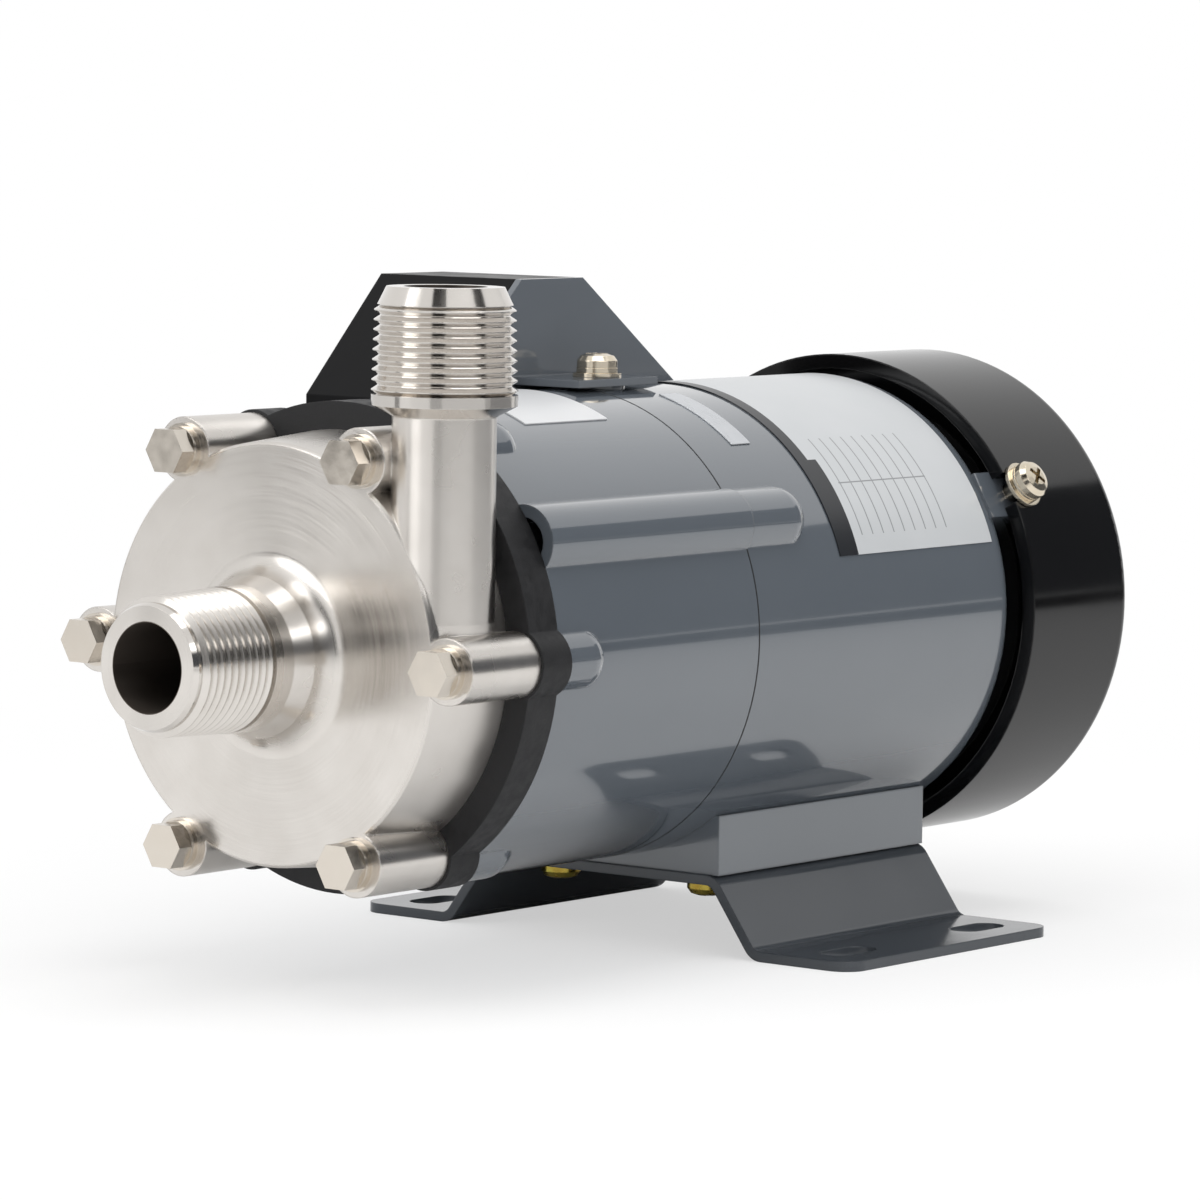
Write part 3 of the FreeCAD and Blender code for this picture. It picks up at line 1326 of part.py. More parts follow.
def terminal_box_cover():
    """Moulded box over the motor's far shoulder; the sheet wall closes its near side."""
    outer_spot = Spot((0, box_outer_y, 0), (1, 0, 0), (0, 0, 1))
    inner_spot = Spot((0, box_outer_y - mm.box_wall, 0), (1, 0, 0), (0, 0, 1))
    depth = box_outer_y - box_inner_y
    outer = padded("box_cover_outside", outer_spot, box_outline(as_size(0)), depth)
    inner = padded("box_cover_inside", inner_spot, box_outline(mm.box_wall), depth - mm.box_wall)
    motor = cylinder("box_cover_motor", AXIS, mm.motor_radius + mm.soft_clearance,
                     mm.box_front - 1, mm.box_rear + 1)
    shell = remove("box_cover_shell", outer, [inner, motor])
    wall_y = box_outer_y - mm.box_wall
    parts = [shell]
    tools = []
    ground = upward_spot(0, 0, 0)
    for tag, share in (("front", 0.25), ("rear", 0.75)):
        middle = mm.capacitor_start + mm.capacitor_length * share
        rib = box("capacitor_rib_" + tag, ground, (middle - mm.box_wall / 2, middle + mm.box_wall / 2),
                  (capacitor_y + mm.box_wall, wall_y + mm.box_wall / 2),
                  (capacitor_z - mm.capacitor_radius * 1.1, capacitor_z))
        seat = cylinder("capacitor_seat_" + tag, capacitor_spot, mm.capacitor_radius + mm.fit_clearance,
                        mm.capacitor_start, mm.capacitor_start + mm.capacitor_length)
        parts.append(remove("capacitor_cradle_" + tag, rib, [seat]))
    boss_start = mm.box_nut_height + mm.soft_clearance
    for tag, x in (("front", mm.box_screw_front), ("rear", mm.box_screw_rear)):
        spot = far_side_spot(x, box_inner_y, box_screw_height)
        parts.append(cylinder("box_cover_boss_" + tag, spot, box_boss_radius,
                              boss_start, depth - mm.box_wall / 2))
        tools.append(cylinder("box_cover_hole_" + tag, spot, small_hole_radius, boss_start - 1, depth + 1))
    tools.append(cylinder("box_gland_hole", far_side_spot(mm.gland_x, wall_y, gland_z),
                          mm.gland_thread_radius + mm.fit_clearance, -1, mm.box_wall + 1))
    return node("terminal_box_cover", remove("terminal_box_cover", join("box_cover_blank", parts), tools))


def terminal_box_screws():
    flange_top = flange_seat + mm.box_sheet
    spot = upward_spot(mm.flange_screw_x, 0, flange_top)
    node("box_flange_washer", small_flat_washer("box_flange_washer", spot, as_size(0)))
    node("box_flange_spring_washer", small_spring_washer("box_flange_spring_washer", spot,
                                                         mm.small_washer_thickness))
    node("box_flange_screw", pan_screw("box_flange_screw", spot.at(w=small_stack),
                                       small_stack + mm.box_sheet + mm.housing_wall))
    screws = [pan_screw("box_cover_screw_" + tag, far_side_spot(x, box_outer_y, box_screw_height),
                        box_outer_y - box_inner_y - mm.soft_clearance)
              for tag, x in (("front", mm.box_screw_front), ("rear", mm.box_screw_rear))]
    node("box_cover_screws", group("box_cover_screws", screws))


def electrical_parts():
    """Start capacitor, terminal block with its screws, and the three motor leads."""
    node("capacitor", cylinder("capacitor", capacitor_spot, mm.capacitor_radius, mm.capacitor_start,
                               mm.capacitor_start + mm.capacitor_length))
    ground = upward_spot(0, 0, 0)
    block_end = mm.block_start + mm.block_length
    middle_y = box_inner_y + mm.block_width / 2
    block = box("terminal_block_blank", ground, (mm.block_start, block_end),
                (box_inner_y, box_inner_y + mm.block_width), (block_bottom, block_top))
    poles = 3
    wells = []
    screws = []
    for index in range(poles):
        x = mm.block_start + mm.block_length * ((index + 0.5) / poles)
        pole = upward_spot(x, middle_y, 0)
        floor = block_bottom + mm.block_height / 2
        wells.append(cylinder("terminal_well_" + str(index), pole, mm.small_screw_radius, floor, block_top))
        screws.append(cylinder("terminal_screw_" + str(index), pole, mm.small_screw_radius - mm.fit_clearance,
                               floor, block_top - mm.soft_clearance * 2))
    node("terminal_block", remove("terminal_block", block, wells))
    node("terminal_screws", group("terminal_screws", screws))
    start_z = mm.axis_height + mm.winding_outer_radius
    leads = [cylinder("motor_lead_" + str(step), upward_spot(mm.lead_x + mm.lead_pitch * step, mm.lead_y, 0),
                      mm.lead_radius, start_z - mm.lead_radius * 3.2, block_bottom) for step in (-1, 0, 1)]
    node("motor_leads", group("motor_leads", leads))


def cable_gland():
    """Cable gland in the far wall, with its dome nut and the locknut inside; no cable is fitted."""
    spot = far_side_spot(mm.gland_x, box_outer_y, gland_z)
    thread_end = -(mm.box_wall + mm.gland_nut_height + mm.fit_clearance * 10)
    collar = hexagon("gland_collar", spot, mm.gland_flats, 0, mm.gland_hex_height)
    stem = cylinder("gland_stem", spot, mm.gland_thread_radius, thread_end, 0)
    bore = cylinder("gland_bore", spot, mm.gland_bore_radius, thread_end, mm.gland_hex_height)
    node("cable_gland_body", remove("cable_gland_body", join("gland_blank", [collar, stem]), [bore]))
    dome_end = mm.gland_hex_height + mm.gland_dome_height
    node("cable_gland_dome", turned("cable_gland_dome", spot, [
        (mm.gland_hex_height, mm.gland_bore_radius),
        (mm.gland_hex_height, mm.gland_flats / 2),
        (mm.gland_hex_height + mm.gland_dome_height * 0.5, mm.gland_flats / 2),
        (dome_end, mm.gland_bore_radius + mm.box_wall),
        (dome_end, mm.gland_bore_radius),
    ]))
    nut = hexagon("gland_nut_blank", spot, mm.gland_flats, -mm.box_wall - mm.gland_nut_height, -mm.box_wall)
    nut_bore = cylinder("gland_nut_bore", spot, mm.gland_thread_radius + mm.fit_clearance,
                        -mm.box_wall - mm.gland_nut_height, -mm.box_wall)
    node("cable_gland_locknut", remove("cable_gland_locknut", nut, [nut_bore]))


def labels():
    """Blank plates on the motor and bracket."""
    inner = mm.motor_radius + mm.fit_clearance
    for name, start, length, angles in (
        ("rating_label", mm.rating_label_start, mm.rating_label_length, RATING_LABEL_ANGLES),
        ("serial_label", mm.serial_label_start, mm.serial_label_length, SERIAL_LABEL_ANGLES),
        ("notice_label", mm.notice_label_start, mm.notice_label_length, NOTICE_LABEL_ANGLES),
    ):
        spot = AXIS.spun(180 - angles[1])
        node(name, sector(name, spot, inner + mm.label_thickness, inner, start, start + length,
                          angles[1] - angles[0]))


front_casing()
casing_seal()
rear_casing()
head_bolts()
impeller_set()
front_bracket()
bracket_screws()
motor_housing()
bearing("front_bearing", front_bearing_start)
bearing("rear_bearing", rear_bearing_start)
preload_spring()
stator()
rotor()
motor_shaft()
drive_cup()
cooling_fan()
fan_cover()
cover_screws()
base_plate()
base_screws()
terminal_box_bracket()
terminal_box_cover()
terminal_box_screws()
electrical_parts()
cable_gland()
labels()
doc.recompute()

for item in doc.Objects:
    if "Invalid" in item.State or "Error" in item.State:
        raise RuntimeError("feature failed: " + item.Name)
for item in nodes:
    if item.Shape.isNull() or not item.Shape.isValid():
        raise RuntimeError("bad shape: " + item.Label)

os.makedirs("parts", exist_ok=True)
for item in nodes:
    item.Shape.exportStep("parts/" + item.Label + ".step")
    print(item.Label, len(item.Shape.Solids), round(item.Shape.Volume, 1))
print(len(nodes), "nodes")
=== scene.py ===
# %% [markdown]
# A small magnetic drive pump: a turned stainless head, a black moulded rear casing, a grey enamelled
# motor on a bent sheet base, a terminal box and a gloss black fan cover. Its solids come from CAD and
# already have their true sizes, so this lesson is about finishes and light. Two thin rings that are
# easier to make as meshes come at the end.

# %% Load the fixed frame
import json
import math
import bpy
from mathutils import Matrix, Vector


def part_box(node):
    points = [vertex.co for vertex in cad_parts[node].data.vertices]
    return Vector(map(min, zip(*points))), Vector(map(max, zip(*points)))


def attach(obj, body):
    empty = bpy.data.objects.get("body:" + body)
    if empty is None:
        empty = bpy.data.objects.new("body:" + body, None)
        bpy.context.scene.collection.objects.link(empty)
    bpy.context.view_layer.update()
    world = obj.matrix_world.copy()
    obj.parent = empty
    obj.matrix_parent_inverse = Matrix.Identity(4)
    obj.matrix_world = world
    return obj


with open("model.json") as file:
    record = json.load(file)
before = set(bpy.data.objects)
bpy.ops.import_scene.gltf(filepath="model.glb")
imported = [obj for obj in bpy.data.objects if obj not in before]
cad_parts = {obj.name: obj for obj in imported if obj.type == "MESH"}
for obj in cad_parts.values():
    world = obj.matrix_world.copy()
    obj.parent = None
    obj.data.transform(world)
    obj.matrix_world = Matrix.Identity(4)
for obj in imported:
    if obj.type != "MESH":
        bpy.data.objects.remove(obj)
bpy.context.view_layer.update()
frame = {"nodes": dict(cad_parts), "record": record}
nodes = frame["nodes"]
# The frame is in metres, and the shaft runs along x at this height above the floor
MM = 0.001
SHAFT_HEIGHT = 0.064
print("CAD nodes:", len(nodes))

# %% [markdown]
# Colours are easiest to choose as the hex codes that a picture editor shows. Blender's shaders work
# with linear light, so one function turns a code to linear numbers.

# %% Colour helper
def srgb(code):
    """Turns a hex code to linear red, green and blue, with a full alpha."""
    parts = [int(code[start:start + 2], 16) / 255 for start in (1, 3, 5)]
    linear = [part / 12.92 if part <= 0.04045 else ((part + 0.055) / 1.055) ** 2.4 for part in parts]
    return linear + [1.0]


print("mid grey in linear light:", [round(value, 3) for value in srgb("#808080")[:3]])

# %% [markdown]
# A finish is a tree of nodes. One small function adds a node, sets its properties, and then sets or
# links each of its inputs, so the same call builds every pattern here. Pattern sizes are given in
# millimetres, and a noise texture wants the number of features in a metre.

# %% Node and pattern helpers
def add(tree, kind, inputs=None, **settings):
    """Adds a node. An input given as a node is linked to that node's first output."""
    made = tree.nodes.new(kind)
    for name, value in settings.items():
        setattr(made, name, value)
    for key, value in (inputs or {}).items():
        if isinstance(value, bpy.types.Node):
            value = value.outputs[0]
        if isinstance(value, bpy.types.NodeSocket):
            tree.links.new(value, made.inputs[key])
        else:
            made.inputs[key].default_value = value
    return made


def empty_material(name):
    made = bpy.data.materials.new(name)
    made.use_nodes = True
    made.node_tree.nodes.clear()
    return made


def per_metre(size_mm):
    return 1000.0 / size_mm


print("features of 2 mm in a metre:", per_metre(2))

# %% [markdown]
# The photograph was taken from the suction side, a little above the shaft, with a long lens. The
# camera's place and axes were fitted to points of the pump, so it is set from two unit vectors and
# their cross product, and not aimed by hand.

# %% Camera
SENSOR_WIDTH_MM = 36.0
FOCAL_LENGTH_MM = 180.5
camera_data = bpy.data.cameras.new("camera")
camera_data.sensor_width = SENSOR_WIDTH_MM
camera_data.lens = FOCAL_LENGTH_MM
camera_data.clip_start = 0.05
camera = bpy.data.objects.new("camera", camera_data)
right = Vector((0.61820, -0.78591, 0.01339))
up = Vector((0.06218, 0.06587, 0.99589))
back = right.cross(up)
place = Vector((-0.9663, -0.7303, 0.1745))
camera.matrix_world = Matrix((
    (right.x, up.x, back.x, place.x),
    (right.y, up.y, back.y, place.y),
    (right.z, up.z, back.z, place.z),
    (0, 0, 0, 1)))
bpy.context.scene.collection.objects.link(camera)
bpy.context.scene.camera = camera
bpy.context.scene.view_settings.view_transform = "Standard"
print("camera at", [round(value, 3) for value in place])

# %% [markdown]
# Studio light for shiny things is made of large soft panels and a few dark cards, because polished
# metal only shows what stands round it. The world is plain white where the camera or a reflection
# looks at it, and a little dimmer as a light, so that the panels still give the shapes some shadow.

# %% White world
WORLD_AS_LIGHT = 0.82
world = bpy.data.worlds.new("studio")
world.use_nodes = True
bpy.context.scene.world = world
sky = world.node_tree
sky.nodes.clear()
rays = add(sky, "ShaderNodeLightPath").outputs
seen = add(sky, "ShaderNodeMath", {0: rays["Is Camera Ray"], 1: rays["Is Glossy Ray"]}, operation="MAXIMUM")
seen = add(sky, "ShaderNodeMath", {0: seen, 1: rays["Is Transmission Ray"]}, operation="MAXIMUM")
strength = add(sky, "ShaderNodeMapRange", {"Value": seen, "To Min": WORLD_AS_LIGHT, "To Max": 1.0})
white_air = add(sky, "ShaderNodeBackground", {"Color": srgb("#FFFFFF"), "Strength": strength})
add(sky, "ShaderNodeOutputWorld", {"Surface": white_air})
print("world strength as a light:", WORLD_AS_LIGHT)

# %% [markdown]
# Three soft panels give the forms their light: a wide one overhead for the bright tops, one on the
# left for the face of the head, and a weaker one in front for the motor's flank. An area lamp works as
# such a panel. Each is aimed at a point of the pump.

# %% Light panels
MOTOR_MIDDLE = (-0.04, 0.0, 0.07)
HEAD_MIDDLE = (-0.12, 0.0, 0.07)
HEAD_TOP = (-0.12, 0.0, 0.10)


def aim(thing, position, target):
    """Places a lamp or a card, in metres, and turns it to its target."""
    thing.location = position
    thing.rotation_euler = (Vector(target) - Vector(position)).to_track_quat("-Z", "Y").to_euler()
    bpy.context.scene.collection.objects.link(thing)


def light_panel(name, position, target, width, height, watts):
    data = bpy.data.lights.new(name, "AREA")
    data.shape = "RECTANGLE"
    data.size = width
    data.size_y = height
    data.energy = watts
    aim(bpy.data.objects.new(name, data), position, target)


light_panel("overhead_panel", (-0.05, -0.15, 0.85), MOTOR_MIDDLE, 0.9, 0.4, 2.2)
light_panel("left_panel", (-0.75, 0.30, 0.42), HEAD_MIDDLE, 0.35, 0.5, 1.4)
light_panel("front_panel", (-0.25, -0.85, 0.62), MOTOR_MIDDLE, 0.9, 0.2, 1.2)
print("lamps:", [lamp.name for lamp in bpy.data.lights])

# %% [markdown]
# In a studio, grey and black cards stand just outside the picture, and a shiny surface mirrors them
# as its dark bands. Here a card is a rectangle that glows faintly in its own shade, and that only
# reflections can see. It throws no shadow, so it can be moved without changing the light.

# %% Card helpers
def rectangle(name, width, height):
    """A flat mesh, centred on its object."""
    right_side = width / 2
    top_side = height / 2
    mesh = bpy.data.meshes.new(name)
    mesh.from_pydata([(-right_side, -top_side, 0), (right_side, -top_side, 0),
                      (right_side, top_side, 0), (-right_side, top_side, 0)], [], [(0, 1, 2, 3)])
    return mesh


def dark_card(name, position, target, width, height, shade):
    mesh = rectangle(name, width, height)
    card = bpy.data.objects.new(name, mesh)
    aim(card, position, target)
    material = empty_material(name)
    glow = add(material.node_tree, "ShaderNodeEmission", {"Color": srgb(shade), "Strength": 1.0})
    add(material.node_tree, "ShaderNodeOutputMaterial", {"Surface": glow})
    mesh.materials.append(material)
    card.visible_camera = False
    card.visible_diffuse = False
    card.visible_shadow = False
    card.visible_transmission = False


print("a card of shade #505256 glows with", [round(value, 3) for value in srgb("#505256")[:3]])

# %% [markdown]
# Two wide grey cards give the motor's flank its middle greys. Two tall, nearly black ones draw the
# dark bands down the riser and across the threads. A low strip draws a darker line where the flank
# starts to mirror the floor. A small one stands where the disc mirrors it, and the tool rings draw
# its reflection out to a darker fan.

# %% Dark cards
FLANK_FOOT = (-0.05, 0, 0.022)
DISC_MIDDLE = (-0.134, 0, 0.064)
dark_card("front_card", (-0.35, -1.05, 0.32), MOTOR_MIDDLE, 2.2, 0.42, "#505256")
dark_card("side_card", (0.75, -0.70, 0.30), MOTOR_MIDDLE, 1.1, 0.50, "#606266")
dark_card("camera_card", (-1.04, -0.48, 0.70), HEAD_TOP, 0.44, 1.5, "#0B0A0A")
dark_card("window_card", (0.30, -1.02, 0.70), HEAD_TOP, 0.36, 1.5, "#1A191A")
dark_card("side_strip", (0.66, -0.60, 0.022), FLANK_FOOT, 1.0, 0.05, "#222326")
dark_card("head_card", (-0.86, 0.57, 0.16), DISC_MIDDLE, 0.16, 0.26, "#2E2C2A")

# %% [markdown]
# The floor is one large sheet of pale paper. An ordinary diffuse surface catches the pump's shadow,
# and what the camera sees of it is mixed with plain white: about half near the pump, which keeps the
# shadow soft, and all of it further out, so that no horizon shows.

# %% Paper floor
FLOOR_SIDE = 16.0
NEAR_REACH = 0.20
FAR_REACH = 0.42
WHITE_NEAR_PUMP = 0.56
floor_mesh = rectangle("floor", FLOOR_SIDE, FLOOR_SIDE)
floor = bpy.data.objects.new("floor", floor_mesh)
bpy.context.scene.collection.objects.link(floor)
paper = empty_material("studio paper")
paper_tree = paper.node_tree
where = add(paper_tree, "ShaderNodeTexCoord").outputs["Object"]
reach = add(paper_tree, "ShaderNodeVectorMath", {0: where}, operation="LENGTH").outputs["Value"]
white = add(paper_tree, "ShaderNodeMapRange", {"Value": reach, "From Min": NEAR_REACH, "From Max": FAR_REACH,
                                               "To Min": WHITE_NEAR_PUMP}, interpolation_type="SMOOTHSTEP")
rays = add(paper_tree, "ShaderNodeLightPath").outputs
seen = add(paper_tree, "ShaderNodeMath", {0: white, 1: rays["Is Camera Ray"]}, operation="MULTIPLY")
sheet = add(paper_tree, "ShaderNodeBsdfDiffuse", {"Color": srgb("#F8F8F8")})
glow = add(paper_tree, "ShaderNodeEmission", {"Color": srgb("#FFFFFF"), "Strength": 1.0})
mixed = add(paper_tree, "ShaderNodeMixShader", {0: seen, 1: sheet, 2: glow})
add(paper_tree, "ShaderNodeOutputMaterial", {"Surface": mixed})
floor_mesh.materials.append(paper)
print("the floor is plain white beyond", FAR_REACH, "m")

# %% [markdown]
# Most finishes here are a base colour with faint patches, a roughness that drifts a little, and a
# fine grain in the surface. One function builds that. Its numbers come from the real finish: how wide
# the patches are, how coarse the grain is and how high it stands. A bevel node rounds the sharp CAD
# edges for the light only, as a casting or a plated screw is never knife sharp.

# %% A finish with patches and grain
METAL = {"Metallic": 1.0}
# Noise seldom leaves this range, so the roughness is spread over it
NOISE_LOW = 0.3
NOISE_HIGH = 0.7


def finish(name, light, dark, patch_mm, roughness, grain_mm, grain_height_mm, sockets, edge_mm=0.3):
    """The sockets are the shader's inputs that stay the same all over."""
    made = empty_material(name)
    tree = made.node_tree
    where = add(tree, "ShaderNodeTexCoord").outputs["Object"]
    patches = add(tree, "ShaderNodeTexNoise", {"Vector": where, "Scale": per_metre(patch_mm),
                                               "Detail": 3.0}).outputs["Fac"]
    colour = add(tree, "ShaderNodeMix", {0: patches, 6: srgb(dark), 7: srgb(light)}, data_type="RGBA")
    drift = add(tree, "ShaderNodeMapRange", {"Value": patches, "From Min": NOISE_LOW, "From Max": NOISE_HIGH,
                                             "To Min": roughness[0], "To Max": roughness[1]})
    grain = add(tree, "ShaderNodeTexNoise", {"Vector": where, "Scale": per_metre(grain_mm),
                                             "Detail": 2.0}).outputs["Fac"]
    rounded = add(tree, "ShaderNodeBevel", {"Radius": edge_mm * MM}, samples=4)
    bump = add(tree, "ShaderNodeBump", {"Height": grain, "Distance": grain_height_mm * MM, "Strength": 1.0,
                                        "Normal": rounded})
    shader = add(tree, "ShaderNodeBsdfPrincipled", {"Base Color": colour.outputs[2], "Roughness": drift,
                                                    "Normal": bump, **sockets})
    add(tree, "ShaderNodeOutputMaterial", {"Surface": shader})
    return made


print("a finish spreads its roughness over noise from", NOISE_LOW, "to", NOISE_HIGH)

# %% [markdown]
# The grey castings and the bent sheets wear a glossy enamel. The base plate's enamel is a darker
# grey, which is painted shade for the shade that falls under the motor.
# Enamel is a smooth plastic-like film with an index of about 1.5, so it mirrors the panels sharply. A
# clear coat on top makes that stronger on the castings and the box bracket. The film is never quite
# flat, and a very low, wide grain gives its reflections the slight wobble called orange peel.

# %% Grey enamel
cast_enamel = finish("grey enamel on aluminium casting", "#5A6067", "#545A61", 30, (0.10, 0.16), 3.5, 0.004,
                     {"IOR": 1.5, "Coat Weight": 1.0, "Coat Roughness": 0.05}, edge_mm=0.6)
sheet_enamel = finish("grey enamel on bent sheet", "#656A70", "#5E6369", 24, (0.11, 0.18), 3.0, 0.003,
                      {"IOR": 1.5, "Coat Weight": 0.5, "Coat Roughness": 0.06}, edge_mm=0.35)
# Painted shade: the base plate's grey is darker for the shade that falls under the motor
base_enamel_painted_shade = finish("grey enamel with painted shade on base plate", "#44484D", "#3F4348", 24, (0.11, 0.18), 3.0, 0.003,
                     {"IOR": 1.5}, edge_mm=0.45)
print("enamels:", [enamel.name for enamel in (cast_enamel, sheet_enamel, base_enamel_painted_shade)])

# %% [markdown]
# The black parts differ by how they were moulded. The fan cover is high gloss; the pump's rear
# casing is glass filled, which leaves a dull, cloudy skin; the box and its gland are satin mouldings
# with a fine spark-eroded grain. The fan, the wetted plastic, the seal and the leads are inside or
# behind the grille, and are plainer.

# %% Black mouldings
gloss_cover = finish("gloss black ABS", "#09090A", "#070708", 40, (0.10, 0.16), 6.0, 0.004,
                     {"IOR": 1.5, "Specular IOR Level": 0.4}, edge_mm=0.5)
filled_casing = finish("glass filled black polypropylene", "#2A2A2C", "#121213", 2.2, (0.42, 0.66), 0.5, 0.03,
                       {"IOR": 1.49, "Specular IOR Level": 0.3}, edge_mm=0.5)
satin_box = finish("satin black nylon", "#08080A", "#060607", 8, (0.30, 0.42), 0.45, 0.006,
                   {"IOR": 1.53, "Specular IOR Level": 0.1}, edge_mm=0.5)
fan_nylon = finish("matt black fan nylon", "#1B1B1D", "#131315", 10, (0.45, 0.6), 0.6, 0.015, {"IOR": 1.53})
wetted_plastic = finish("dark wetted polypropylene", "#313134", "#27272A", 7, (0.35, 0.5), 0.6, 0.012,
                        {"IOR": 1.49})
seal_rubber = finish("nitrile rubber", "#141415", "#0E0E0F", 4, (0.55, 0.7), 0.4, 0.01, {"IOR": 1.52})
lead_skin = finish("black lead insulation", "#1C1C1E", "#151517", 5, (0.35, 0.45), 0.5, 0.005, {"IOR": 1.54})
print("black finishes:", [black.name for black in (gloss_cover, filled_casing, satin_box)])

# %% [markdown]
# Small hardware is plated or bare metal. Nickel is slightly yellow, formed stainless screws are
# greyer with crisp edges, and yellow passivated zinc drifts from gold to green in patches. Ground
# bearing steel is the brightest, and machined or cast aluminium is duller and more even. Metals keep
# the default index.

# %% Screws, washers and bearings
bolt_steel = finish("formed A2 stainless", "#D9D2C8", "#C9C1B6", 3, (0.16, 0.26), 0.5, 0.003, METAL,
                    edge_mm=0.06)
bright_nickel = finish("bright nickel plate", "#E2D8C6", "#CFC3AE", 4, (0.12, 0.2), 0.8, 0.003, METAL,
                       edge_mm=0.2)
yellow_zinc = finish("yellow passivated zinc", "#D9A94A", "#8E9A4A", 2.5, (0.22, 0.32), 0.8, 0.003, METAL,
                     edge_mm=0.2)
ground_steel = finish("ground bearing steel", "#D2D4D6", "#BEC1C4", 5, (0.08, 0.14), 0.6, 0.002, METAL,
                      edge_mm=0.2)
machined_alloy = finish("machined aluminium", "#C9CACC", "#B4B6B9", 6, (0.28, 0.36), 0.35, 0.006, METAL)
cast_bars = finish("cast rotor aluminium", "#BDBEC0", "#A2A4A7", 4, (0.42, 0.55), 0.6, 0.02, METAL)
print("metals so far:", [metal.name for metal in (bolt_steel, bright_nickel, yellow_zinc, ground_steel)])

# %% [markdown]
# The wetted bearings inside are alumina ceramic and carbon. Alumina is nearly white with a glassy
# polish, and pressed carbon is dark and dull. The magnets are sintered ferrite, a matt dark grey.

# %% Ceramic, carbon and magnets
alumina = finish("polished alumina ceramic", "#F1EDE4", "#E7E2D7", 6, (0.12, 0.2), 0.5, 0.002, {"IOR": 1.76})
carbon = finish("pressed carbon", "#2B2B2D", "#1C1C1E", 1.5, (0.38, 0.5), 0.3, 0.006, {"IOR": 1.8})
ferrite = finish("sintered ferrite", "#45454A", "#303034", 3, (0.45, 0.6), 0.4, 0.012, {"IOR": 2.0})
print("sintered finishes:", [sintered.name for sintered in (alumina, carbon, ferrite)])

# %% [markdown]
# Motor steel is stacked from half millimetre sheets, and its edges show as fine lines across the
# shaft. The windings are enamelled copper wire. Both patterns are bands along one direction, drawn a
# little coarser than life so that they show.

# %% Laminations and windings
# At a scale of 1 the wave texture turns through this many radians in a metre
WAVE_RADIANS = 20


def banded(name, light, dark, band_mm, roughness, depth_mm, direction):
    made = empty_material(name)
    tree = made.node_tree
    where = add(tree, "ShaderNodeTexCoord").outputs["Object"]
    wave_scale = per_metre(band_mm) * 2 * math.pi / WAVE_RADIANS
    bands = add(tree, "ShaderNodeTexWave", {"Vector": where, "Scale": wave_scale, "Distortion": 0.4,
                                            "Detail Scale": 40.0}, bands_direction=direction).outputs["Fac"]
    colour = add(tree, "ShaderNodeMix", {0: bands, 6: srgb(dark), 7: srgb(light)}, data_type="RGBA")
    bump = add(tree, "ShaderNodeBump", {"Height": bands, "Distance": depth_mm * MM, "Strength": 0.6})
    drift = add(tree, "ShaderNodeMapRange", {"Value": bands, "To Min": roughness[1], "To Max": roughness[0]})
    shader = add(tree, "ShaderNodeBsdfPrincipled", {"Base Color": colour.outputs[2], "Roughness": drift,
                                                    "Normal": bump, **METAL})
    add(tree, "ShaderNodeOutputMaterial", {"Surface": shader})
    return made


laminated_steel = banded("stacked electrical steel", "#8F9397", "#64676B", 1.0, (0.3, 0.45), 0.05, "X")
wound_copper = banded("enamelled copper windings", "#C06B33", "#6E3414", 1.2, (0.25, 0.4), 0.2, "DIAGONAL")
bare_steel = finish("bare turned steel", "#A9ADB1", "#8E9296", 6, (0.22, 0.32), 0.4, 0.004, METAL)
print("motor finishes:", [metal.name for metal in (laminated_steel, wound_copper, bare_steel)])

# %% [markdown]
# The head is turned stainless steel. On its flat face the tool leaves rings round the shaft, and each
# ring stretches highlights across itself, which the eye reads as bright and dark fans. Between the
# turned faces the casting is bead blasted to a satin, the threads are freshly cut and bright, and the
# bores are dull. All this is one material, because it is one casting. Its first nodes measure how far
# a point lies from the shaft and from the riser's own axis.

# %% Head steel: distances from both axes
RISER_AXIS_X = -0.1247
RISER_AXIS_Y = -0.0334
head_steel = empty_material("turned 304 stainless")
steel = head_steel.node_tree
where = add(steel, "ShaderNodeTexCoord").outputs["Object"]
parts = add(steel, "ShaderNodeSeparateXYZ", {0: where}).outputs
across = parts["Y"]
above = add(steel, "ShaderNodeMath", {0: parts["Z"], 1: SHAFT_HEIGHT}, operation="SUBTRACT")
from_shaft = add(steel, "ShaderNodeCombineXYZ", {"Y": across, "Z": above})
shaft_radius = add(steel, "ShaderNodeVectorMath", {0: from_shaft}, operation="LENGTH").outputs["Value"]
riser_x = add(steel, "ShaderNodeMath", {0: parts["X"], 1: RISER_AXIS_X}, operation="SUBTRACT")
riser_y = add(steel, "ShaderNodeMath", {0: across, 1: RISER_AXIS_Y}, operation="SUBTRACT")
from_riser = add(steel, "ShaderNodeCombineXYZ", {"X": riser_x, "Y": riser_y})
riser_radius = add(steel, "ShaderNodeVectorMath", {0: from_riser}, operation="LENGTH").outputs["Value"]
print("riser axis at", round(RISER_AXIS_X / MM, 1), round(RISER_AXIS_Y / MM, 1), "mm")

# %% [markdown]
# The next nodes are masks, which say where each finish lies: 1 inside and 0 outside. Heights are
# above the shaft. Each radius lies a little outside the wall or the bore that it takes in, and inside
# what comes next.

# %% Head steel: masks
COLLAR_FOOT_MM = 44.0
COLLAR_RADIUS_MM = 14.5
NECK_FOOT_MM = 8.0
NECK_RADIUS_MM = 9.68
RISER_THREAD_FOOT_MM = 45.5
RISER_BORE_FOOT_MM = 12.0
RISER_BORE_RADIUS_MM = 7.65
INLET_THREAD_END_MM = -145.5
INLET_BORE_RADIUS_MM = 8.45
# A face is flat where its normal leans this far along the shaft
FLAT_FACE_LEAN = 0.8


